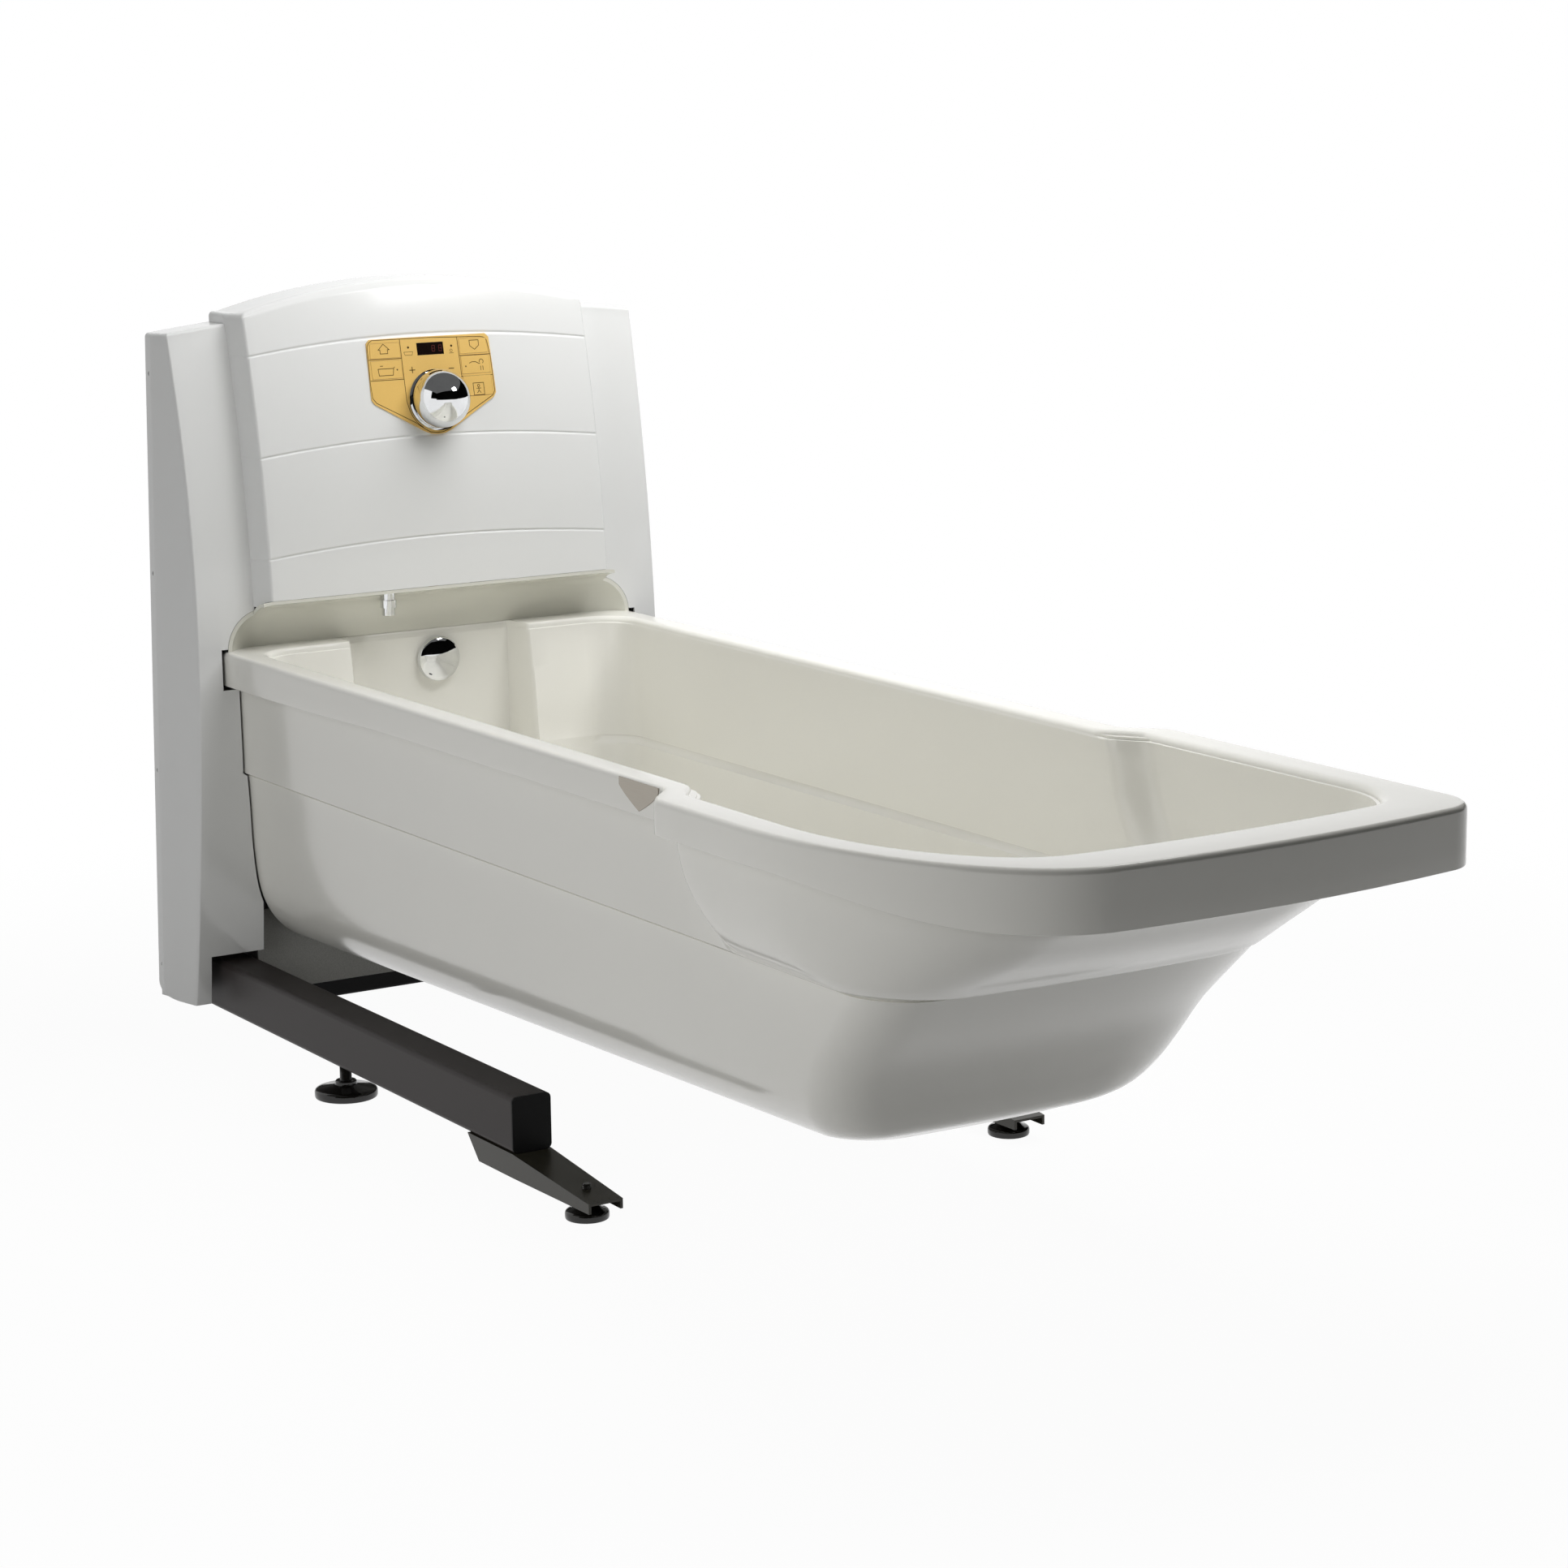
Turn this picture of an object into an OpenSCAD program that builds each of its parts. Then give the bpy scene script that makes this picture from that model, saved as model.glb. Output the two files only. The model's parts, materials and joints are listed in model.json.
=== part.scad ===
// Height-adjustable assisted bath. The tub and its column housing ride up and down
// together on two fixed uprights that stand on a pair of floor legs.
// x runs from the back of the column to the free end of the tub, y across, z up.

/* [Tub rim] */
// Height of the tub rim above the floor at the lowest position
rim_z = 626; // [600:1:660]
// Distance from the back of the column to the rear edge of the rim
rim_rear_x = 86; // [82:1:90]
// Distance from the back of the column to the free end of the rim
rim_end_x = 2133; // [2050:1:2250]
// Half width of the narrow part of the rim
narrow_half = 360; // [350:1:362]
// Half width of the wide part of the rim
wide_half = 406; // [395:1:420]
// Where the rim steps out from narrow to wide
step_x = 1460; // [1400:1:1500]
// Length over which the rim steps out
step_l = 70; // [40:1:100]
// Bow of the free end across the wide half width
end_bow = 38; // [20:1:50]
// Width of the land along the sides of the tub
side_land = 44; // [40:1:50]
// Width of the land across the free end
end_land = 88; // [75:1:100]
// Thickness of the tub moulding
tub_t = 5; // [4:0.5:6]
// Height of the lip along the sides
lip_h = 46; // [40:1:55]
// Height of the lip across the free end
end_lip_h = 77; // [60:1:90]

/* [Tub inside] */
// Height of the inner floor above the bathroom floor
floor_z = 268; // [266:1:275]
// Height of the waist crease
waist_z = 434; // [425:1:445]
// Depth of the foot niche in the column end
niche_d = 46; // [35:1:46]
// Half width of the foot niche
niche_half = 150; // [120:1:160]
// Where the waste stands along the tub
waste_x = 420; // [400:1:500]
// Height of the overflow centre
overflow_z = 578; // [565:1:582]
// Offset of the overflow from the middle
overflow_y = 15; // [0:1:20]

/* [Tub casing] */
// Height of the underside of the casing near the column
casing_z = 157; // [150:1:165]
// Rise of the underside per millimetre toward the free end
casing_rise = 0.025; // [0.015:0.001:0.03]
// Thickness of the casing
casing_t = 4; // [3:0.5:5]

/* [Column housing] */
// Half width of the back of the housing at its top
back_half_top = 416; // [405:1:425]
// Half width of the back of the housing at its bottom
back_half_low = 440; // [428:1:450]
// Inward taper of the side faces per millimetre of depth
side_taper = 0.18; // [0.1:0.01:0.25]
// Height of the side covers at their outer corner
side_top_z = 1109; // [1080:1:1130]
// Underside of the housing at the lowest position
housing_z = 72; // [66:1:80]
// Greatest depth of the side covers
belly_x = 126; // [122:1:132]
// Height of the deepest point of the side covers
belly_z = 560; // [540:1:580]
// Radius of the front profile above the deepest point
front_r = 2216; // [2000:1:2600]
// Radius of the front profile below the deepest point
front_low_r = 4670; // [4000:10:5400]
// Wall thickness of the covers
cover_t = 4; // [3:0.5:5]
// Half width of the raised panel
panel_half = 309; // [300:1:315]
// Half width of the raised panel's front face
panel_face_half = 295; // [285:1:299]
// How far the raised panel stands in front of the side covers
panel_d = 40; // [36:1:44]
// Height of the raised panel at its middle
panel_top_z = 1178; // [1160:1:1200]
// Height of the raised panel's front corners
panel_corner_z = 1137; // [1125:1:1150]
// Radius of the cove between the tub and the panel
cove_r = 72; // [70:1:75]
// Heights of the panel's three grooves at its edges
groove_zs = [1072, 919, 766];
// Width of each groove
groove_w = 3; // [2:0.5:5]
// Depth of each groove
groove_d = 2; // [1:0.5:2.5]

/* [Control plate] */
// Height of the middle of the control plate
plate_z = 1012; // [1000:1:1020]
// Offset of the control plate from the middle
plate_y = 12; // [0:1:20]
// Half width of the control plate
plate_half = 109; // [105:1:115]
// Height of the plate's top edge above its middle
plate_up = 77; // [74:1:82]
// Depth of the plate's nose below its middle
plate_nose = 76; // [74:1:85]
// Thickness of the control plate
plate_t = 3.2; // [2.8:0.1:4]
// Radius of the thermostat ball
ball_r = 46; // [40:1:48]
// Clearance round each key
key_gap = 0.4; // [0.3:0.05:0.6]
// Travel of a key
key_travel = 0.8; // [0.5:0.1:0.8]

/* [Base] */
// Distance between the middle of each leg and the centre plane
leg_y = 346; // [342:1:350]
// Width of a leg tube
leg_w = 60; // [56:1:62]
// Height of a leg tube
leg_h = 80; // [70:1:82]
// Height of the underside of the legs
leg_z = 56; // [52:1:60]
// Where the legs end toward the free end
leg_end_x = 1041; // [1000:1:1100]
// Wall thickness of the leg tubes
leg_t = 4; // [3:0.5:5]
// Where the front brackets end
bracket_end_x = 1243; // [1220:1:1300]
// Where the rear feet stand
rear_foot_x = 467; // [420:1:520]
// Where the front feet stand
front_foot_x = 1192; // [1185:1:1205]
// Radius of a rear foot
rear_foot_r = 47; // [40:1:50]
// Radius of a front foot
front_foot_r = 30; // [26:1:32]

/* [Lift] */
// Height through which the tub and housing travel
lift_travel = 400; // [300:10:400]
// Distance between the middle of each upright and the centre plane
upright_y = 150; // [145:1:155]
// Depth of an upright
upright_d = 40; // [36:1:42]
// Width of an upright
upright_w = 40; // [36:1:42]
// Height of the top of the uprights
upright_top_z = 1045; // [1040:1:1055]
// Wall of the sliding sleeves
sleeve_t = 3; // [2.5:0.5:3.5]
// Thickness of the glide bushes
bush_t = 3.7; // [3:0.1:4]
// Clearance between a bush and its upright
bush_gap = 0.3; // [0.2:0.05:0.4]

/* [Hidden] */

big = 3000;
round_fn = 64;
arc_fn = 720;
origin_x = rim_end_x / 2;
// Gap between two covers that meet
seam = 0.3;
// Height above which the raised panel's walls reach the back plate
panel_wall_z = side_top_z - 4;
// Radial clearance of a running fit
run_gap = 0.06;
side_lean = atan(side_taper);
flare = (back_half_low - back_half_top) / (side_top_z - housing_z);
tilt_low = atan(flare * cos(side_lean));
front_cx = belly_x - front_r;
front_low_cx = belly_x - front_low_r;
panel_r = front_r + panel_d;
bow_k = end_bow / pow(wide_half, 2);
rim_round = 8;
land_z = rim_z - tub_t - 1;
rear_lip_h = 14;
cove_x = rim_rear_x + 10 + cove_r;
cove_half = 291;
cross_w = 60;
cross_x = 12;
cross_z = leg_z - 12;
cross_top_z = cross_z + cross_w;
upright_x = 40;
sleeve_gap = bush_t + bush_gap;
sleeve_d = upright_d + 2 * (sleeve_gap + sleeve_t);
sleeve_w = upright_w + 2 * (sleeve_gap + sleeve_t);
sleeve_z0 = 150;
sleeve_z1 = 740;
top_bar_h = 40;
low_bar_h = 55;
low_bar_t = 7;
rod_r = 15;
actuator_r = 25;
motor_h = 86;
rod_top_z = sleeve_z1 - top_bar_h;
actuator_top_z = rod_top_z - 60;
rod_low_z = actuator_top_z - lift_travel - 25;
arm_w = 30;
arm_h = 40;
arm_top_z = floor_z - tub_t - 5;
arm_x1 = 1500;
pad_l = 60;
pad_xs = [340, 900, 1440];
foot_stem_r = 8;
front_stem_r = 6;
foot_h = 14;
front_foot_h = 12;
bracket_t = 4;
bracket_tip_z = 36;
bracket_low_z = 22;
bracket_x0 = 911;
bracket_cut = 32;
screw_x = 14;
screw_zs = [124, 433, 741, 1048];
screw_r = 2;
screw_head_r = 4.5;
flange_d = 25;
flange_t = 2;
knob_z = -23;
knob_y = 2;
spindle_r = 8;
ball_x = 19;
ball_flat_x = 6.5;
pocket_d = 2;
plate_face = plate_t - pocket_d;
valve_r = 30;
valve_front = 4.7;
valve_back = 60;
outlet_y = -88;
outlet_x = cove_x - 27;
outlet_r = 10.5;
drain_r = 14;
drain_y = 90;
drain_z = 228;
plug_r = 25;
overflow_r = 26;
overflow_neck_r = 19.5;
cap_r = 36;
cap_t = 20;
niche_wall_x = rim_rear_x + 60 - niche_d;

// Half width of the housing's side face at the back, at height z
function back_half(z) = back_half_top + (side_top_z - z) * flare;
function smooth(t) = let(u = min(1, max(0, t))) u * u * (3 - 2 * u);
// Radius of an arc that rises by h over half a chord c
function arc_radius(c, h) = (c * c + h * h) / (2 * h);
// Lower edge of the lip at distance x: short behind the tub, deep at the free end
function lip_z(x) = rim_z - rear_lip_h - (lip_h - rear_lip_h) * smooth((x - rim_rear_x - 2) / 10)
    - 7 * smooth((x - rim_rear_x) / 12) * (1 - smooth((x - 300) / 400))
    - (end_lip_h - lip_h) * smooth((x - step_x - 260) / 360);

// One side of a level outline, from the middle of the column end to the middle of the free end.
// s is [z, rear x, end x, narrow half, wide half, near corner length, near corner width,
// far corner length, far corner width, rear corner radius, niche depth, niche half width,
// how far the step from narrow to wide lies past step_x]
function half_outline(s, side) =
    let(n = s[3], w = s[4], cx = side < 0 ? s[5] : s[7], cy = side < 0 ? s[6] : s[8],
        rr = s[9], nd = s[10], nh = min(s[11], n - rr - 30),
        bow_x = s[2] - bow_k * w * w - cx,
        x0 = step_x + s[12] - step_l / 2, x1 = x0 + step_l)
    concat(
        [for (t = [0, 0.93]) [s[1] - nd, side * nh * t]],
        [for (t = [0.25 : 0.25 : 1]) [s[1] - nd * (1 - smooth(t)), side * (nh - 10 + 20 * t)]],
        [[s[1], side * (nh + (n - rr - nh) * 0.6)]],
        [for (a = [0 : 22.5 : 90]) [s[1] + rr * (1 - cos(a)), side * (n - rr + rr * sin(a))]],
        [for (t = [0.3, 0.65]) [s[1] + rr + (x0 - s[1] - rr) * t, side * n]],
        [for (t = [0 : 0.2 : 1]) [x0 + (x1 - x0) * t, side * (n + (w - n) * smooth(t))]],
        [[x1 + (bow_x - x1) * 0.5, side * w]],
        [for (a = [0 : side < 0 ? 9 : 15 : 90]) let(y = w - cy + cy * cos(a))
            [s[2] - bow_k * y * y - cx * (1 - sin(a)), side * y]],
        [for (t = [0.35, 0.7]) let(y = (w - cy) * (1 - t)) [s[2] - bow_k * y * y, side * y]]);
function outline(s) = let(a = half_outline(s, -1), b = half_outline(s, 1))
    concat(a, [[s[2], 0]], [for (i = [len(b) - 1 : -1 : 1]) b[i]]);
// Closed skin through a stack of level outlines, each given as a list of 3-D points
module skin(rings) {
    n = len(rings[0]);
    m = len(rings);
    mid = [for (r = [rings[0], rings[m - 1]]) (r[0] + r[floor(n / 2)]) / 2];
    polyhedron(concat([for (r = rings) each r], mid),
        concat([for (i = [0 : n - 1]) [m * n, i, (i + 1) % n]],
            [for (k = [0 : m - 2], i = [0 : n - 1]) let(j = (i + 1) % n)
                each [[(k + 1) * n + i, (k + 1) * n + j, k * n + j],
                    [(k + 1) * n + i, k * n + j, k * n + i]]],
            [for (i = [0 : n - 1]) [m * n + 1, (m - 1) * n + (i + 1) % n, (m - 1) * n + i]]),
        convexity = 10);
}
function level(s) = [for (p = outline(s)) [p[0], p[1], s[0]]];
function lip_level(s, up = 0) = [for (p = outline(s)) [p[0], p[1], lip_z(p[0]) + up]];
function slope_level(s) = let(f = smooth((waist_z - s[0]) / (waist_z - casing_z)))
    [for (p = outline(s)) [p[0], p[1], s[0] + casing_rise * (p[0] - 500) * f]];

// Levels of the casing's outer face from its underside to the rim: height or share of the
// height, end inset, narrow and wide side inset, near and far corner sizes, shift of the step.
// Its full section runs back into the housing
wall_n = narrow_half - 24;
wall_w = wide_half - 18;
end_in = rim_end_x - 33;
casing_rear_x = rim_rear_x + 15;
function casing_levels(t) = let(low = waist_z - casing_z, up = land_z - waist_z) [
    for (l = [
        [0, 452, 180, 40, 40, 150, 130], [3, 443, 136, 50, 50, 190, 170],
        [15, 412, 95, 57, 57, 189, 184], [31, 375, 67, 63, 61, 184, 192],
        [59, 355, 42, 68, 65, 174, 205], [99, 334, 25, 71, 68, 160, 224],
        [160, 298, 16, 73, 71, 139, 254], [228, 241, 12, 75, 72, 116, 286],
        [low - 4, 202, 9, 76, 73, 101, 308]])
        [casing_z + l[0] + (l[0] == 0 ? t : 0), casing_rear_x + t, end_in - l[1] - t,
            wall_n - l[2] - t, wall_n - l[2] - t, l[3], l[4], l[5], l[6], 14, 0, niche_half, 0],
    for (l = [
        [0.005, 183, 2, 50, 120, 112, 198, 190, 100], [0.07, 165, 2, 36, 150, 122, 211, 210, 92],
        [0.15, 140, 2, 25, 200, 140, 227, 234, 80], [0.28, 102, 1.5, 14, 265, 165, 245, 250, 62],
        [0.44, 64, 1, 6, 320, 188, 254, 234, 42], [0.62, 28, 0.5, 2, 365, 204, 240, 186, 27],
        [1, 0, 0, 0, 395, 215, 220, 178, 10]])
        [waist_z + l[0] * up, casing_rear_x + t, end_in - l[1] - t, wall_n - l[2] - t,
            wall_w - l[3] - t, l[4], l[5], l[6], l[7], 14, 0, niche_half, l[8]]];
// Levels of the tub's inner face from its floor to the rim edge, offset outward by t.
// The first number is a share of the height, the second the slope of the wall there
wall_in_n = narrow_half - side_land;
wall_in_w = wide_half - side_land - 10;
end_wall_x = rim_end_x - end_land;
rear_wall_x = rim_rear_x + 60;
function bowl_levels(t) = let(low = waist_z - floor_z, up = rim_z - waist_z) [
    for (l = [
        [0, 0, 204, 430, 116, 60], [0.025, 20, 159, 392, 84, 72], [0.1, 45, 119, 350, 54, 84],
        [0.22, 60, 90, 305, 32, 94], [0.4, 70, 69, 266, 19, 102], [0.67, 80, 54, 210, 10, 108],
        [0.94, 90, 46, 177, 5, 112]])
        [floor_z + l[0] * low - t * cos(l[1]), rear_wall_x + l[2] - 20 - t * sin(l[1]),
            end_wall_x - l[3] + t * sin(l[1]), wall_in_n - l[4] + t * sin(l[1]),
            wall_in_n - l[4] + t * sin(l[1]), l[5], l[5], l[5] + 15, 2 * l[5], 60,
            (niche_d + l[2] - 20) * smooth((l[0] - 0.45) / 0.5), niche_half + t, 0],
    for (l = [
        [0.01, 24, 168, 0, 34, 118, 116, 150, 165, 116], [0.07, 22, 145, 0, 20, 145, 124, 155, 165, 108],
        [0.17, 20, 120, 0, 10, 190, 140, 172, 180, 92], [0.35, 17, 83, 0, 4, 240, 158, 160, 165, 66],
        [0.6, 11, 40, 0, 1, 280, 172, 118, 100, 42], [0.87, 3, 10, 0, 0, 300, 180, 110, 80, 26],
        [0.947, 1, 3, 0.5, 0.5, 300, 180, 110, 80, 20]])
        [waist_z + l[0] * up, rear_wall_x + l[1] - t, end_wall_x - l[2] + t,
            wall_in_n + l[3] + t, wall_in_w - l[4] + t, l[5], l[6], l[7], l[8], 60,
            niche_d + l[1], niche_half + t, l[9]]];
// Level at the rim, moved in from the outer edge by d
function rim_level(z, d) = [z, rim_rear_x + d, rim_end_x - d, narrow_half - d, wide_half - d,
    415 - d / 2, 232 - d / 2, 58 - d / 2, 55 - d / 2, 15, 0, niche_half, 0];
// Level at the inner edge of the land, moved out from the inner wall by d
function edge_level(z, d) = [z, rear_wall_x - d * 0.4, end_wall_x + d, wall_in_n + d, wall_in_w + d,
    300 + d, 180 + d / 2, 110, 80, 60, niche_d, niche_half, 0];

module placed() {
    translate([-origin_x, 0, 0]) children();
}

// Rectangle with round corners, centred
module round_rect(w, h, r) {
    square([w - 2 * r, h], center = true);
    square([w, h - 2 * r], center = true);
    for (x = [-1, 1], y = [-1, 1])
        translate([x * (w / 2 - r), y * (h / 2 - r)]) circle(r, $fn = round_fn);
}

// Straight bar of round section between two points
module bar(p, q, r) {
    d = q - p;
    translate(p) rotate([0, acos(d[2] / norm(d)), atan2(d[1], d[0])])
        cylinder(h = norm(d), r = r, $fn = round_fn);
}

// Cylinder along x
module x_cylinder(x0, x1, r, fn = round_fn) {
    translate([x0, 0, 0]) rotate([0, 90, 0]) cylinder(h = x1 - x0, r = r, $fn = fn);
}

// Everything in front of the back plane and behind the housing's curved front, grown by d
module front_envelope(d) {
    half = 460;
    intersection() {
        translate([0, -half, belly_z]) cube([600, 2 * half, big]);
        translate([front_cx, half, belly_z]) rotate([90, 0, 0])
            cylinder(h = 2 * half, r = front_r + d, $fn = arc_fn);
    }
    intersection() {
        translate([0, -half, belly_z - big]) cube([600, 2 * half, big]);
        translate([front_low_cx, half, belly_z]) rotate([90, 0, 0])
            cylinder(h = 2 * half, r = front_low_r + d, $fn = 2 * arc_fn);
    }
}

// Space between the two leaning side planes, moved inward by d
module between_sides(d) {
    intersection_for (s = [-1, 1])
        translate([0, s * (back_half_top - d / cos(side_lean)), side_top_z])
            rotate([s * tilt_low, 0, -s * side_lean])
                translate([-1500, s < 0 ? 0 : -big, -2000]) cube([big, big, big]);
}

// Space under the side covers' gently arched top, lowered by d
module under_side_arch(d) {
    rise = 12;
    chord = back_half_top - panel_half;
    r = (pow(back_half_top, 2) - pow(panel_half, 2)) / (2 * rise);
    translate([0, 0, side_top_z - d - sqrt(r * r - pow(back_half_top, 2))])
        x_cylinder(-1, 600, r, arc_fn);
}

// Space under the raised panel's arched top, lowered by d
module under_panel_arch(d) {
    r = arc_radius(panel_face_half, panel_top_z - panel_corner_z);
    translate([0, 0, panel_top_z - r]) x_cylinder(-1, 600, r - d, arc_fn);
}

// The cove's hollow: a long round-ended roll lying across the column end of the tub
module cove_roll(r) {
    translate([cove_x, 0, rim_z]) {
        rotate([90, 0, 0]) translate([0, 0, -cove_half])
            cylinder(h = 2 * cove_half, r = r, $fn = 96);
        for (s = [-1, 1]) translate([0, s * cove_half, 0]) sphere(r, $fn = 96);
    }
}

// Opening in the housing round the tub's lip and casing, with clearance g
module tub_opening(g) {
    side = [for (s = casing_levels(0)) [s[3] + g,
        slope_level(s)[0][2] - g * (1 - smooth((s[0] - casing_z) / 100))]];
    translate([rim_rear_x - 20, 0, 0]) rotate([90, 0, 90]) linear_extrude(400) {
        translate([-narrow_half - g - 2, lip_z(200) - g - 2])
            square([2 * (narrow_half + g + 2), rim_z + 2 * g + 4 - lip_z(200)]);
        polygon(concat(side, [for (i = [len(side) - 1 : -1 : 0]) [-side[i][0], side[i][1]]]));
    }
}

// Frame whose origin is on the side cover, with z along its outward normal
module on_side(s, x, z) {
    translate([x, s * (back_half(z) - side_taper * x), z])
        rotate([s * tilt_low, 0, -s * side_lean]) rotate([-s * 90, 0, 0]) children();
}

// Frame on the raised panel at height z, with x along its outward normal
module on_panel(z) {
    translate([front_cx, 0, belly_z]) rotate([0, -asin((z - belly_z) / panel_r), 0])
        translate([panel_r, 0, 0]) children();
}
module at_plate() {
    on_panel(plate_z) translate([0, plate_y, 0]) children();
}
// Point in the part's frame of a point given on the control plate
plate_a = asin((plate_z - belly_z) / panel_r);
function plate_point(p) = [
    front_cx + (panel_r + p[0]) * cos(plate_a) - p[2] * sin(plate_a), plate_y + p[1],
    belly_z + (panel_r + p[0]) * sin(plate_a) + p[2] * cos(plate_a)];

// Outline of the control plate, inset by d
module plate_outline(d = 0) {
    h = plate_half - d;
    u = plate_up - d;
    n = plate_nose - d;
    polygon([[-h + 8, u], [h - 8, u], [h - 2, u - 6], [h, 0], [h, -17], [h - 5, -24],
        [24, -n + 6], [12, -n + 1], [0, -n], [-12, -n + 1], [-24, -n + 6], [-h + 5, -24],
        [-h, -17], [-h, 0], [-h + 2, u - 6]]);
}

// Cells of the keys on the plate: the strip between two verticals and two heights
col_left = 49;
col_right = 52;
col_edge = 4;
row_zs = [-22, 13, 45, plate_up - 5];
function key_cell(side, row) = side < 0
    ? [[-plate_half + col_edge, row_zs[row]], [-col_left, row_zs[row]],
        [-col_left, row_zs[row + 1]], [-plate_half + col_edge + (row == 2 ? 2 : 0), row_zs[row + 1]]]
    : [[col_right, row_zs[row]], [plate_half - col_edge, row_zs[row]],
        [plate_half - col_edge - (row == 2 ? 2 : 0), row_zs[row + 1]], [col_right, row_zs[row + 1]]];
function middle(ps) = [for (k = [0, 1]) (ps[0][k] + ps[1][k] + ps[2][k] + ps[3][k]) / 4];
// A cell drawn in by d, and kept clear of the knob's collar
module cell_shape(side, row, d) {
    ps = key_cell(side, row);
    c = middle(ps);
    difference() {
        polygon([for (p = ps) [for (k = [0, 1]) p[k] - d * sign(p[k] - c[k])]]);
        translate([knob_y, knob_z]) circle(collar_r + d, $fn = 96);
    }
}
// Slab of a plate shape between two depths
module slab(x0, x1) {
    translate([x0, 0, 0]) rotate([90, 0, 90]) linear_extrude(x1 - x0) children();
}
key_rib = 1.5;
module key(side, row) {
    color("goldenrod") at_plate()
        slab(-pocket_d + key_travel + 0.2, plate_face + 0.3) cell_shape(side, row, key_rib + key_gap);
}

module leg(s) {
    color("dimgray") difference() {
        translate([cross_x, s * leg_y, leg_z + leg_h / 2]) rotate([90, 0, 90])
            linear_extrude(leg_end_x - cross_x) difference() {
                round_rect(leg_w, leg_h, 8);
                round_rect(leg_w - 2 * leg_t, leg_h - 2 * leg_t, 4);
            }
        translate([rear_foot_x, s * leg_y, leg_z - 1])
            cylinder(h = leg_t + 2, r = foot_stem_r + run_gap, $fn = round_fn);
        for (x = bolt_xs) translate([x, s * leg_y, leg_z - 1])
            cylinder(h = leg_t + 2, r = bolt_r + 0.3, $fn = round_fn);
    }
}
module leg_left() { leg(-1); }
module leg_right() { leg(1); }

plug_d = 20;
cap_plate_t = 3;
module leg_end_caps() {
    gap = 0.2;
    color("black") for (s = [-1, 1], e = [0, 1])
        translate([e == 0 ? cross_x : leg_end_x, s * leg_y, leg_z + leg_h / 2])
            rotate([90, 0, e == 0 ? -90 : 90]) {
                linear_extrude(cap_plate_t) round_rect(leg_w, leg_h, 8);
                translate([0, 0, -plug_d]) linear_extrude(plug_d)
                    round_rect(leg_w - 2 * leg_t - 2 * gap, leg_h - 2 * leg_t - 2 * gap, 4);
            }
}

module cross_member() {
    l = 2 * leg_y - leg_w;
    color("black") difference() {
        translate([cross_x, l / 2, cross_z + cross_w / 2]) rotate([90, 0, 0]) linear_extrude(l)
            translate([cross_w / 2, 0]) difference() {
                round_rect(cross_w, cross_w, 5);
                round_rect(cross_w - 2 * leg_t, cross_w - 2 * leg_t, 2);
            }
    }
}

// Folded channel under the end of a leg, sloping down to its tip
bracket_w0 = leg_w;
bracket_w1 = 52;
bolt_r = 5;
bolt_xs = [950, 1000];
module bracket_block(s, d) {
    tip_w = bracket_w1 / 2 - d;
    w = bracket_w0 / 2 - d;
    intersection() {
        translate([0, s * leg_y + big / 2, 0]) rotate([90, 0, 0]) linear_extrude(big)
            polygon([[bracket_x0 + d, leg_z - d], [leg_end_x + d / 4, leg_z - d],
                [bracket_end_x + d, bracket_tip_z - d], [bracket_end_x + d, bracket_low_z - 2 * d],
                [bracket_x0 + bracket_cut + d, bracket_low_z - 2 * d]]);
        translate([0, s * leg_y, 0]) linear_extrude(big)
            polygon([[bracket_x0 - 5, -w], [leg_end_x, -w], [bracket_end_x + 5, -tip_w],
                [bracket_end_x + 5, tip_w], [leg_end_x, w], [bracket_x0 - 5, w]]);
    }
}
module front_bracket(s) {
    color("darkolivegreen") difference() {
        bracket_block(s, 0);
        bracket_block(s, bracket_t);
        translate([front_foot_x, s * leg_y, 0])
            cylinder(h = leg_z, r = front_stem_r + run_gap, $fn = round_fn);
        for (x = bolt_xs) translate([x, s * leg_y, 0])
            cylinder(h = leg_z + 1, r = bolt_r + 0.3, $fn = round_fn);
    }
}
module front_bracket_left() { front_bracket(-1); }
module front_bracket_right() { front_bracket(1); }

module bracket_bolts() {
    color("silver") for (s = [-1, 1], x = bolt_xs) translate([x, s * leg_y, leg_z - bracket_t]) {
        translate([0, 0, -6]) cylinder(h = 6, r = 9, $fn = 6);
        translate([0, 0, -0.5]) cylinder(h = bracket_t + leg_t + 12, r = bolt_r, $fn = round_fn);
        translate([0, 0, bracket_t + leg_t]) cylinder(h = 8, r = 9, $fn = 6);
    }
}

// Levelling foot: a domed disc on a threaded stem
module foot(x, s, r, h, stem_r, stem_top) {
    color("gray") translate([x, s * leg_y, 0]) {
        rotate_extrude($fn = 96) polygon([[0, 0], [r - 3, 0], [r, 3], [r, h * 0.4],
            [r * 0.72, h * 0.75], [stem_r + 4, h], [0, h]]);
        translate([0, 0, h - 1]) cylinder(h = stem_top - h + 1, r = stem_r, $fn = round_fn);
    }
}
module rear_foot(s) { foot(rear_foot_x, s, rear_foot_r, foot_h, foot_stem_r, leg_z + leg_h - 30); }
module rear_foot_left() { rear_foot(-1); }
module rear_foot_right() { rear_foot(1); }
module front_foot(s) {
    foot(front_foot_x, s, front_foot_r, front_foot_h, front_stem_r, bracket_tip_z + 12);
}
module front_foot_left() { front_foot(-1); }
module front_foot_right() { front_foot(1); }

module upright(s) {
    color("dimgray") translate([upright_x, s * upright_y, cross_top_z])
        linear_extrude(upright_top_z - cross_top_z) difference() {
            round_rect(upright_d, upright_w, 3);
            round_rect(upright_d - 2 * leg_t, upright_w - 2 * leg_t, 1);
        }
}
module upright_left() { upright(-1); }
module upright_right() { upright(1); }

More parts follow.
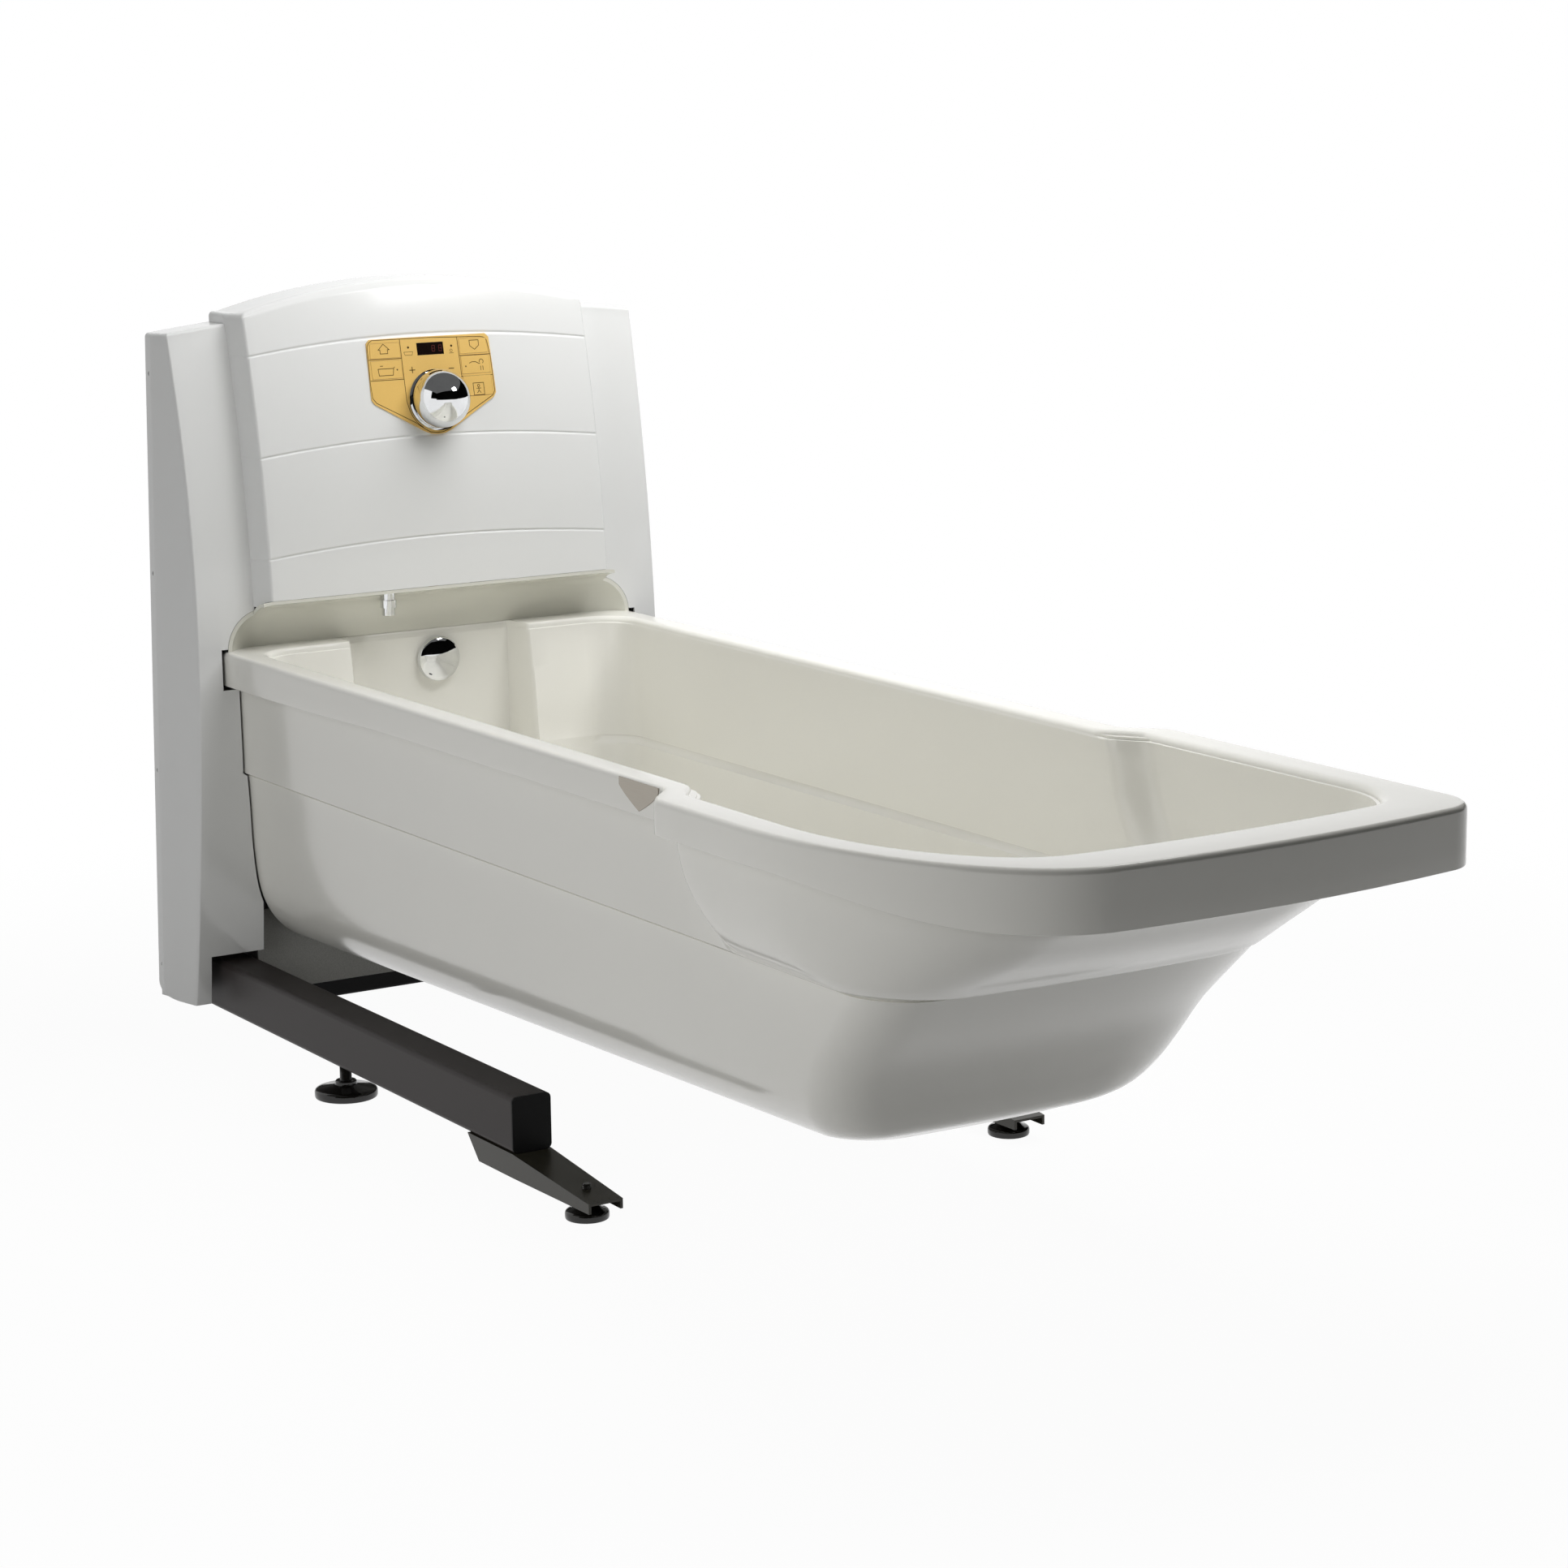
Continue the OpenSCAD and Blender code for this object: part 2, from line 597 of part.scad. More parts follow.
module upright_caps() {
    color("black") for (s = [-1, 1]) translate([upright_x, s * upright_y, upright_top_z]) {
        linear_extrude(cap_plate_t) round_rect(upright_d, upright_w, 3);
        translate([0, 0, -plug_d]) linear_extrude(plug_d)
            round_rect(upright_d - 2 * leg_t - 0.4, upright_w - 2 * leg_t - 0.4, 1);
    }
}

module actuator_motor() {
    color("black") translate([cross_x + cross_w / 2, 0, cross_top_z]) {
        linear_extrude(motor_h) round_rect(cross_w - 12, 90, 12);
    }
}

module actuator_tube() {
    z0 = cross_top_z + motor_h;
    color("silver") translate([upright_x, 0, z0]) difference() {
        cylinder(h = actuator_top_z - z0, r = actuator_r, $fn = round_fn);
        translate([0, 0, 6]) cylinder(h = big, r = rod_r + run_gap, $fn = round_fn);
    }
}

module actuator_rod() {
    color("lightgray") translate([upright_x, 0, rod_low_z])
        cylinder(h = rod_top_z - rod_low_z, r = rod_r, $fn = round_fn);
}

// Two sleeves round the uprights, joined by a top bar and a low front bar
module carriage() {
    x1 = upright_x + sleeve_d / 2;
    inner = upright_y - sleeve_w / 2;
    color("gray") {
        for (s = [-1, 1]) translate([upright_x, s * upright_y, sleeve_z0])
            linear_extrude(sleeve_z1 - sleeve_z0) difference() {
                square([sleeve_d, sleeve_w], center = true);
                square([sleeve_d - 2 * sleeve_t, sleeve_w - 2 * sleeve_t], center = true);
            }
        translate([x1 - sleeve_d, -inner, rod_top_z]) cube([sleeve_d, 2 * inner, top_bar_h]);
        translate([x1, -upright_y - sleeve_w / 2, sleeve_z0])
            cube([low_bar_t, 2 * upright_y + sleeve_w, low_bar_h]);
    }
}

bush_h = 60;
bush_zs = [sleeve_z0 + 10, upright_top_z - lift_travel - bush_h - 25];
module glide_bushes() {
    color("ivory") for (s = [-1, 1], z = bush_zs) translate([upright_x, s * upright_y, z])
        linear_extrude(bush_h) difference() {
            square([upright_d + 2 * sleeve_gap, upright_w + 2 * sleeve_gap], center = true);
            square([upright_d + 2 * bush_gap, upright_w + 2 * bush_gap], center = true);
        }
}

module support_arm(s) {
    x0 = upright_x + sleeve_d / 2;
    color("gray") translate([x0, s * upright_y, arm_top_z - arm_h / 2]) rotate([90, 0, 90])
        linear_extrude(arm_x1 - x0) difference() {
            square([arm_w, arm_h], center = true);
            square([arm_w - 6, arm_h - 6], center = true);
        }
}
module support_arm_left() { support_arm(-1); }
module support_arm_right() { support_arm(1); }

module cradle_pads() {
    color("black") for (s = [-1, 1], x = pad_xs)
        translate([x, s * upright_y - arm_w / 2, arm_top_z])
            cube([pad_l, arm_w, floor_z - tub_t - arm_top_z]);
}

module tub_casing() {
    outer = casing_levels(0);
    inner = casing_levels(-casing_t);
    m = len(outer);
    top = inner[m - 1];
    color("whitesmoke") difference() {
        skin(concat([for (s = outer) slope_level(s)],
            [level(casing_levels(casing_t)[m - 1])],
            [for (i = [m - 2 : -2 : 0]) slope_level(casing_levels(casing_t)[i])]));
        translate([0, -niche_half - 30, waist_z - 68]) cube([200, 2 * niche_half + 60, big]);
        for (s = [-1, 1]) translate([0, s * upright_y - arm_w / 2 - 3, arm_top_z - arm_h - 3])
            cube([300, arm_w + 6, arm_h + 6]);
        translate([0, drain_y, drain_z]) x_cylinder(0, 300, drain_r + 2);
    }
}

module tub_shell() {
    inner = bowl_levels(0);
    outer = bowl_levels(tub_t);
    m = len(inner);
    in_lip = rim_level(land_z, tub_t);
    color("ivory") difference() {
        skin(concat([for (i = [0, 1, 2, 3, 4, 6, 7, 8, 9, 10, 12, 13]) level(outer[i])],
            [level(concat([land_z], [for (k = [1 : 12]) outer[m - 1][k]]))],
            [level(in_lip)], [lip_level(in_lip)], [lip_level(rim_level(0, 0))],
            [level(rim_level(rim_z - rim_round, 0))],
            [for (a = [30, 60]) level(rim_level(rim_z - rim_round * (1 - sin(a)),
                rim_round * (1 - cos(a))))],
            [level(rim_level(rim_z, rim_round))],
            [level(edge_level(rim_z, 11))], [level(edge_level(rim_z - 1.5, 6))],
            [level(edge_level(rim_z - 5, 2.5))],
            [for (i = [m - 1 : -1 : 0]) level(inner[i])]));
        translate([waste_x, 0, floor_z - 20])
            cylinder(h = 40, r = waste_neck_r + 0.3, $fn = round_fn);
        translate([0, overflow_y, overflow_z])
            x_cylinder(0, rear_wall_x, overflow_neck_r + 0.3);
    }
}

module splash_cove() {
    color("beige") difference() {
        intersection() {
            cove_roll(cove_r + tub_t);
            union() {
                intersection() {
                    front_envelope(panel_d - 0.3);
                    translate([0, -panel_half, 0]) cube([600, 2 * panel_half, big]);
                }
                front_envelope(-0.3);
            }
            translate([0, -500, rim_z]) cube([cove_x, 1000, 500]);
        }
        cove_roll(cove_r);
        translate([outlet_x, outlet_y, rim_z]) cylinder(h = 200, r = outlet_r + 0.3, $fn = round_fn);
    }
}

// The raised panel turned about the axis of its curved front, so that its sides are bevelled
module panel_body(d) {
    translate([front_cx, 0, belly_z]) rotate([90, 0, 0]) rotate_extrude($fn = arc_fn)
        polygon([[1000, -panel_half + d], [front_r - d, -panel_half + d],
            [panel_r - d, -panel_face_half + d], [panel_r - d, panel_face_half - d],
            [front_r - d, panel_half - d], [1000, panel_half - d]]);
}
module groove(z) {
    rise = 18;
    r = arc_radius(panel_half, rise);
    on_panel(z + rise) translate([0, 0, -r]) rotate([0, 90, 0]) difference() {
        translate([0, 0, -groove_d]) cylinder(h = 30, r = r + groove_w / 2, $fn = arc_fn);
        translate([0, 0, -groove_d - 1]) cylinder(h = 32, r = r - groove_w / 2, $fn = arc_fn);
    }
}
module raised_panel() {
    color("white") difference() {
        intersection() {
            panel_body(0);
            under_panel_arch(0);
            translate([0, -400, rim_z]) cube([600, 800, big]);
        }
        intersection() {
            panel_body(cover_t);
            under_panel_arch(cover_t);
            translate([-1, -400, rim_z - 1]) cube([600, 800, big]);
        }
        intersection() {
            front_envelope(-flange_d);
            translate([0, -400, 0]) cube([600, 800, panel_wall_z]);
        }
        translate([-big, -400, 0]) cube([big, 800, big]);
        cove_roll(cove_r + tub_t + 0.5);
        translate([0, -400, rim_z - 2]) cube([600, 800, cove_r - 6]);
        for (z = groove_zs) groove(z);
        at_plate() {
            slab(-pocket_d, 30) plate_outline(-0.3);
            translate([0, knob_y, knob_z]) x_cylinder(-20, 5, 22);
            slab(-20, 5) translate(display_at) square([display_w, display_h] + [1, 1], center = true);
        }
    }
}

module side_cover(s) {
    color("white") difference() {
        intersection() {
            front_envelope(0);
            between_sides(0);
            under_side_arch(0);
            translate([0, s < 0 ? -500 : 306, housing_z]) cube([600, 194, big]);
        }
        intersection() {
            front_envelope(-cover_t);
            between_sides(cover_t);
            under_side_arch(cover_t);
        }
        translate([-1, s < 0 ? -panel_half - seam : 0, rim_z + 40])
            cube([600, panel_half + seam, big]);
        cove_roll(cove_r + tub_t + 0.5);
        tub_opening(4);
        translate([rim_rear_x - 30, s * leg_y - leg_w / 2 - 10, 0])
            cube([200, leg_w + 20, leg_z + leg_h + 12]);
        for (z = screw_zs) on_side(s, screw_x, z)
            translate([0, 0, -8]) cylinder(h = 10, r = screw_r + 0.2, $fn = round_fn);
    }
}
module side_cover_left() { side_cover(-1); }
module side_cover_right() { side_cover(1); }

back_t = 3;
service_w = 240;
service_h = 150;
module rear_cover() {
    color("white") difference() {
        intersection() {
            between_sides(cover_t + seam);
            union() {
                difference() {
                    under_side_arch(cover_t + seam);
                    translate([-1, -panel_half - seam, panel_wall_z - seam])
                        cube([100, 2 * (panel_half + seam), big]);
                }
                intersection() {
                    under_panel_arch(cover_t + seam);
                    translate([0, -panel_half + cover_t + seam, panel_wall_z - 1])
                        cube([60, 2 * (panel_half - cover_t - seam), big]);
                }
            }
            translate([0, -500, housing_z]) cube([flange_d, 1000, big]);
        }
        intersection() {
            between_sides(cover_t + seam + flange_t);
            translate([back_t, -500, 0]) cube([big, 1000, big]);
        }
        translate([-1, -service_w / 2, 760]) cube([20, service_w, service_h]);
        for (s = [-1, 1], z = screw_zs) on_side(s, screw_x, z)
            translate([0, 0, -12]) cylinder(h = 14, r = screw_r + 0.2, $fn = round_fn);
    }
}

module lower_cover() {
    x = upright_x + sleeve_d / 2 + low_bar_t;
    half = leg_y - leg_w / 2 - 12;
    color("gainsboro") translate([x, -half, housing_z])
        cube([cover_t, 2 * half, sleeve_z0 + low_bar_h - housing_z]);
}

module cover_screws() {
    color("silver") for (s = [-1, 1], z = screw_zs) on_side(s, screw_x, z) {
        cylinder(h = 2, r = screw_head_r, $fn = round_fn);
        translate([0, 0, -10]) cylinder(h = 11, r = screw_r, $fn = round_fn);
    }
}

// Small steel guard on the near lip, just before the step
guard_x = 1376;
guard_w = 98;
guard_h = 38;
module shield_plate() {
    color("silver") translate([guard_x, -narrow_half, rim_z - 2]) rotate([90, 0, 0])
        linear_extrude(1.5) polygon(concat([[-guard_w / 2, 0]],
            [for (t = [0 : 0.1 : 1]) [-guard_w / 2 * (1 - pow(t, 1.25)), -10 - (guard_h - 10) * t]],
            [for (t = [0.9 : -0.1 : 0]) [guard_w / 2 * (1 - pow(t, 1.35)), -7 - (guard_h - 7) * t]],
            [[guard_w / 2, 0]]));
}

display_at = [2.5, 58];
display_w = 46;
display_h = 19;
module control_plate() {
    color("goldenrod") at_plate() difference() {
        slab(-pocket_d, plate_face) plate_outline();
        for (k = keys) slab(-5, 5) cell_shape(k[0], k[1], key_rib);
        slab(-5, 5) translate(display_at) square([display_w, display_h] + [0.6, 0.6], center = true);
        translate([0, knob_y, knob_z]) x_cylinder(-5, 5, 20);
    }
}
keys = [[-1, 2], [-1, 1], [1, 2], [1, 1], [1, 0]];
module key_raise() { key(-1, 2); }
module key_fill() { key(-1, 1); }
module key_lower() { key(1, 2); }
module key_shower() { key(1, 1); }
module key_timer() { key(1, 0); }

board_front = -5.5;
module display_window() {
    color("black") at_plate() slab(board_front, plate_face - 0.3)
        translate(display_at) square([display_w, display_h], center = true);
}
module control_board() {
    color("green") at_plate() slab(board_front - 1.6, board_front)
        translate([0, 50]) square([180, 40], center = true);
}

collar_r = 48;
module knob_collar() {
    color("silver") at_plate() translate([0, knob_y, knob_z]) difference() {
        x_cylinder(plate_face, ball_flat_x - 0.5, collar_r, 96);
        x_cylinder(-5, 20, spindle_r + 4);
    }
}
module thermostat_knob() {
    color("silver") at_plate() translate([0, knob_y, knob_z]) {
        intersection() {
            translate([ball_x, 0, 0]) sphere(ball_r, $fn = 128);
            x_cylinder(ball_flat_x, 200, 100);
        }
        x_cylinder(-45, ball_flat_x + 2, spindle_r);
    }
}
// Mixing valve behind the panel, with the supply branches at its sides
branch_r = 12;
branch_half = 90;
branch_x = -40;
module thermostat_valve() {
    color("peru") at_plate() translate([0, knob_y, knob_z]) difference() {
        union() {
            x_cylinder(-valve_back, -valve_front, valve_r);
            translate([branch_x, branch_half, 0]) rotate([90, 0, 0])
                cylinder(h = 2 * branch_half, r = branch_r, $fn = round_fn);
        }
        x_cylinder(-50, 0, spindle_r + run_gap);
    }
}
// Short threaded stubs that hang from the valve's branches, each below a hexagon
stub_l = 60;
stub_r = 10.5;
stub_thread_l = 40;
stub_hex_r = 15;
stub_hex_l = 11;
valve_c = plate_point([branch_x, knob_y, knob_z]);
module supply_stubs() {
    color("peru") for (s = [-1, 1]) translate(valve_c + [0, s * (branch_half - branch_r), 0])
        difference() {
            union() {
                translate([0, 0, -stub_l]) cylinder(h = stub_l, r = stub_r, $fn = round_fn);
                translate([0, 0, -stub_l + stub_thread_l])
                    cylinder(h = stub_hex_l, r = stub_hex_r, $fn = 6);
            }
            rotate([90, 0, 0]) cylinder(h = 60, r = branch_r, center = true, $fn = round_fn);
            translate([0, 0, -stub_l - 1]) cylinder(h = 30, r = 7, $fn = round_fn);
        }
}

nut_r = 13;
module hose_outlet() {
    z1 = rim_z + sqrt(pow(cove_r, 2) - pow(27 + nut_r, 2)) - 0.6;
    color("silver") translate([outlet_x, outlet_y, 0]) difference() {
        union() {
            translate([0, 0, z1 - 12]) cylinder(h = 12, r = nut_r, $fn = round_fn);
            translate([0, 0, z1 - 24]) cylinder(h = 64, r = outlet_r, $fn = round_fn);
        }
        translate([0, 0, z1 - 25]) cylinder(h = 40, r = 6, $fn = round_fn);
    }
}
pipe_r = 8;
elbow_t = 1.5;
// Distance of the two outgoing pipes from the valve's middle
branch_out_y = valve_r + pipe_r + 3;
module outlet_pipe() {
    z1 = rim_z + sqrt(pow(cove_r, 2) - pow(27 + nut_r, 2)) + 39.4;
    knee = [outlet_x, outlet_y, z1 + 14];
    top = [valve_c[0], valve_c[1] - branch_out_y, valve_c[2]];
    under = top - [0, 0, stub_l + 14];
    color("peru") difference() {
        union() {
            bar([outlet_x, outlet_y, z1], knee, pipe_r);
            translate(knee) sphere(pipe_r + elbow_t, $fn = 48);
            bar(knee, under, pipe_r);
            translate(under) sphere(pipe_r + elbow_t, $fn = 48);
            bar(under, top, pipe_r);
        }
        translate(valve_c) rotate([90, 0, 0])
            cylinder(h = 300, r = branch_r, center = true, $fn = round_fn);
    }
}
module filler_pipe() {
    low = [rim_rear_x - pipe_r - 2, overflow_y, overflow_z + overflow_r - 2];
    color("peru") difference() {
        bar(low, [valve_c[0], valve_c[1] + branch_out_y, valve_c[2]], pipe_r);
        translate(valve_c) rotate([90, 0, 0])
            cylinder(h = 300, r = branch_r, center = true, $fn = round_fn);
        translate([0, overflow_y, overflow_z]) x_cylinder(0, 200, overflow_r);
        at_plate() translate([0, knob_y, knob_z]) x_cylinder(-valve_back, -valve_front, valve_r);
    }
}

module overflow_body() {
    x1 = niche_wall_x - tub_t;
    color("gray") translate([0, overflow_y, overflow_z]) difference() {
        union() {
            x_cylinder(x1 - 25, x1 - seam, overflow_r);
            x_cylinder(x1 - 1, niche_wall_x, overflow_neck_r);
        }
        x_cylinder(x1 - 20, 200, 6 + run_gap);
    }
}
module overflow_knob() {
    color("silver") translate([0, overflow_y, overflow_z]) {
        x_cylinder(niche_wall_x + 1, niche_wall_x + cap_t, cap_r, 128);
        x_cylinder(niche_wall_x - 20, niche_wall_x + 2, 6);
    }
}
// Pipe from the overflow, across behind the tub and down to the waste pipe
over_r = 9;
module overflow_pipe() {
    x = niche_wall_x - tub_t - 13;
    color("gray") difference() {
        union() {
            bar([x, overflow_y, overflow_z], [x, drain_y, overflow_z - 30], over_r);
            translate([x, drain_y, overflow_z - 30]) sphere(over_r + elbow_t, $fn = 48);
            bar([x, drain_y, drain_z], [x, drain_y, overflow_z - 30], over_r);
        }
        translate([0, overflow_y, overflow_z]) x_cylinder(0, 200, overflow_r);
        translate([0, drain_y, drain_z]) x_cylinder(0, 200, drain_r);
    }
}

waste_neck_r = 30;
waste_flange_r = 38;
module waste_body() {
    z0 = drain_z - drain_r;
    color("silver") translate([waste_x, 0, 0]) difference() {
        union() {
            translate([0, 0, z0]) cylinder(h = floor_z - z0, r = waste_neck_r, $fn = round_fn);
            translate([0, 0, floor_z]) cylinder(h = 2.5, r = waste_flange_r, $fn = 96);
            translate([0, 0, z0]) cylinder(h = floor_z - tub_t - z0, r = waste_flange_r - 2, $fn = 96);
        }
        translate([0, 0, floor_z - 6]) cylinder(h = 20, r = plug_r + 0.5, $fn = 96);
        difference() {
            translate([0, 0, z0 + 5]) cylinder(h = 60, r = 20, $fn = round_fn);
            translate([-25, -6, floor_z - 16]) cube([50, 12, 8]);
        }
        translate([0, 0, z0 + 5]) cylinder(h = 60, r = 5 + run_gap, $fn = round_fn);
    }
}
module waste_plug() {
    color("silver") translate([waste_x, 0, 0]) {
        translate([0, 0, floor_z - 5.7]) cylinder(h = 6, r = plug_r, $fn = 96);
        translate([0, 0, drain_z + 6]) cylinder(h = floor_z - drain_z - 8, r = 5, $fn = round_fn);
    }
}
// Length of the waste pipe's end that a drain hose goes on, up to its stop ring
drain_tail_l = 40;
drain_ring_h = 4;
module waste_pipe() {
    down_x = 46;
    tail_z = sleeve_z0 + 10;
    color("gray") difference() {
        union() {
            translate([down_x, drain_y, tail_z + drain_tail_l])
                cylinder(h = drain_ring_h, r = drain_r + 3, $fn = round_fn);
            bar([waste_x, 0, drain_z], [waste_x, drain_y, drain_z], drain_r);
            translate([waste_x, drain_y, drain_z]) sphere(drain_r + elbow_t, $fn = 48);
            bar([down_x, drain_y, drain_z], [waste_x, drain_y, drain_z], drain_r);
            translate([down_x, drain_y, drain_z]) sphere(drain_r + elbow_t, $fn = 48);
            bar([down_x, drain_y, tail_z], [down_x, drain_y, drain_z], drain_r);
        }
        translate([waste_x, 0, 100]) cylinder(h = 300, r = waste_flange_r - 2, $fn = 96);
        translate([down_x, drain_y, tail_z - 1]) cylinder(h = 40, r = drain_r - 3, $fn = round_fn);
    }
}

box_z = 560;
module control_box() {
    color("dimgray") translate([back_t, -370, box_z]) cube([55, 155, 200]);
}
module cable_gland() {
    color("black") translate([back_t + 27, -290, box_z]) difference() {
        union() {
            translate([0, 0, -8]) cylinder(h = 8, r = 12, $fn = 6);
            translate([0, 0, -22]) cylinder(h = 15, r = 9, $fn = round_fn);
        }
        translate([0, 0, -30]) cylinder(h = 40, r = 4, $fn = round_fn);
    }
}

placed() leg_left();
placed() leg_right();
placed() leg_end_caps();
placed() cross_member();
placed() front_bracket_left();
placed() front_bracket_right();
placed() bracket_bolts();
placed() upright_left();
placed() upright_right();
placed() upright_caps();
placed() actuator_motor();
placed() actuator_tube();
placed() rear_foot_left();
placed() rear_foot_right();
placed() front_foot_left();
placed() front_foot_right();
placed() carriage();
placed() glide_bushes();
placed() actuator_rod();
placed() support_arm_left();
placed() support_arm_right();
placed() cradle_pads();
placed() tub_casing();
placed() tub_shell();
placed() splash_cove();
placed() raised_panel();
placed() side_cover_left();
placed() side_cover_right();
placed() rear_cover();
placed() lower_cover();
placed() cover_screws();
placed() shield_plate();
placed() control_plate();
placed() display_window();
placed() control_board();
placed() key_raise();
placed() key_lower();
placed() key_fill();
placed() key_shower();
placed() key_timer();
placed() knob_collar();
placed() thermostat_knob();
placed() thermostat_valve();
placed() hose_outlet();
placed() outlet_pipe();
placed() filler_pipe();
placed() supply_stubs();
placed() overflow_body();
placed() overflow_knob();
placed() overflow_pipe();
placed() waste_body();
placed() waste_plug();
placed() waste_pipe();
placed() control_box();
placed() cable_gland();
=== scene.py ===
"""Dresses the height-adjustable assisted bath: moulded tub, column housing, control panel, floor frame."""
import bpy
import json
from math import asin, atan2, cos, pi, radians, sin, sqrt
from mathutils import Matrix, Vector

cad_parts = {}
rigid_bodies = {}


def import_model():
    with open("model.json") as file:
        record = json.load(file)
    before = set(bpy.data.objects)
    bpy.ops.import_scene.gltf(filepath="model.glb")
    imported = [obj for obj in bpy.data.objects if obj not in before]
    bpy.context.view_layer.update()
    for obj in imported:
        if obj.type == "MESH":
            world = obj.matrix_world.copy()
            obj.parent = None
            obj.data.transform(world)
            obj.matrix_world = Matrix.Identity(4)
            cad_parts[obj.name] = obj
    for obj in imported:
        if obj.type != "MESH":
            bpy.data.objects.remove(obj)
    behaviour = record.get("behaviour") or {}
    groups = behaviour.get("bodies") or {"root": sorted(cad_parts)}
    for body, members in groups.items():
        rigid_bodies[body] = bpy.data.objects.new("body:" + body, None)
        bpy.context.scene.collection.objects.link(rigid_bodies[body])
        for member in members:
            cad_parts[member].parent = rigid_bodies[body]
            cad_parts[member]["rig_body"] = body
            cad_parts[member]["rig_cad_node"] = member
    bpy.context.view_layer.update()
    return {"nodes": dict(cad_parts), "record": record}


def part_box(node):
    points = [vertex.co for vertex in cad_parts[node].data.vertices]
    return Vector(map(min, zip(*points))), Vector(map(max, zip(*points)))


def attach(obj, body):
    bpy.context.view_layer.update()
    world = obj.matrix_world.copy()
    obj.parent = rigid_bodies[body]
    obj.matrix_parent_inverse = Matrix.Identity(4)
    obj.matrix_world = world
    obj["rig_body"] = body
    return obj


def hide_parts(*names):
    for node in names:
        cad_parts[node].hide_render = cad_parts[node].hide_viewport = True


bl_info = {
    "name": "Assisted Bath",
    "version": (1, 0, 0),
    "blender": (4, 5, 0),
    "location": "3D View > Sidebar > Bath",
    "description": "Builds the mouldings, the control panel and the finishes of a height-adjustable bath",
    "category": "Add Mesh",
}

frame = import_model()
BODY_OF = {n: b for b, names in frame["record"]["behaviour"]["bodies"].items() for n in names}
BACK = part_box("rear_cover")[0].x
TUB_LOW, TUB_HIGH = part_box("tub_shell")
MM = 0.001


def length_setting(name, text, default):
    return bpy.props.FloatProperty(name=name, description=text, unit="LENGTH", default=default)


def colour_setting(name, text, *default):
    return bpy.props.FloatVectorProperty(
        name=name, description=text, subtype="COLOR", size=3, min=0, max=1, default=default)


class BathSizes(bpy.types.PropertyGroup):
    rim_height: length_setting("Rim height", "Height of the tub rim above the floor", TUB_HIGH.z)
    rim_end: length_setting("Rim end", "Distance from the column's back to the rim's free end", TUB_HIGH.x - BACK)
    rim_rear: length_setting("Rim rear", "Distance from the column's back to the rim's rear edge", TUB_LOW.x - BACK)
    wide_half: length_setting("Wide half width", "Half width of the wide end of the rim", TUB_HIGH.y)
    narrow_half: length_setting("Narrow half width", "Half width of the narrow part of the rim", 0.360)
    floor_height: length_setting("Tub floor height", "Height of the tub's inner floor", 0.268)
    waist_height: length_setting("Waist height", "Height of the crease round the tub", 0.434)
    edge_round: length_setting("Edge rounding", "Radius of the housing's outer edges", 0.006)
    groove_depth: length_setting("Groove depth", "Depth of the raised panel's grooves", 0.0012)


class BathColours(bpy.types.PropertyGroup):
    cover: colour_setting("Housing", "Colour of the column housing", 0.82, 0.825, 0.815)
    tub: colour_setting("Tub", "Colour of the tub and its casing", 0.90, 0.89, 0.835)
    cove: colour_setting("Cove", "Colour of the splash cove", 0.74, 0.735, 0.66)
    legs: colour_setting("Legs", "Colour of the legs' powder coat", 0.034, 0.028, 0.027)
    panel: colour_setting("Control panel", "Colour of the control panel's film", 0.81, 0.525, 0.15)
    floor: colour_setting("Floor", "Colour of the floor", 0.90, 0.90, 0.90)


def sizes():
    """The sizes in millimetres, as the shape functions use them."""
    s = bpy.context.scene.bath_sizes
    return {k: getattr(s, k) * 1000 for k in BathSizes.__annotations__}


def box_mm(node):
    """Low and high corner of a CAD node's box, in millimetres from the column's back."""
    return [((v.x - BACK) / MM, v.y / MM, v.z / MM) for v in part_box(node)]


def middle(node):
    return [(a + b) / 2 for a, b in zip(*box_mm(node))]


def smooth(t):
    """An even step from 0 to 1 that starts and ends level."""
    t = min(1.0, max(0.0, t))
    return t * t * (3 - 2 * t)


def steps(n):
    """The n + 1 even steps from 0 to 1."""
    return [i / n for i in range(n + 1)]


def quarter(n):
    """Cosine and sine at n + 1 even steps of a quarter turn."""
    return [(cos(a * pi / 2), sin(a * pi / 2)) for a in steps(n)]


# Mesh helpers

def deselect_all():
    if bpy.context.object and bpy.context.object.mode != "OBJECT":
        bpy.ops.object.mode_set(mode="OBJECT")
    bpy.ops.object.select_all(action="DESELECT")


def only(piece):
    """Leaves one piece selected and active."""
    deselect_all()
    piece.select_set(True)
    bpy.context.view_layer.objects.active = piece


def edit(piece, *calls):
    """Runs edit-mode operators on the whole of a piece."""
    only(piece)
    bpy.ops.object.mode_set(mode="EDIT")
    bpy.ops.mesh.select_all(action="SELECT")
    for call, values in calls:
        call(**values)
    bpy.ops.object.mode_set(mode="OBJECT")


def select_edges(piece, test):
    """Selects the edges that pass a test on (edge, its two face normals, its middle)."""
    only(piece)
    bpy.ops.object.mode_set(mode="EDIT")
    bpy.ops.mesh.select_mode(type="EDGE")
    bpy.ops.mesh.select_all(action="DESELECT")
    bpy.ops.object.mode_set(mode="OBJECT")
    mesh = piece.data
    sides = {}
    for face in mesh.polygons:
        for key in face.edge_keys:
            sides.setdefault(key, []).append(face)
    for edge in mesh.edges:
        faces = sides.get(edge.key, ())
        if len(faces) == 2:
            a, b = mesh.vertices[edge.vertices[0]].co, mesh.vertices[edge.vertices[1]].co
            edge.select = test(faces[0], faces[1], (a + b) / 2)
    bpy.ops.object.mode_set(mode="EDIT")


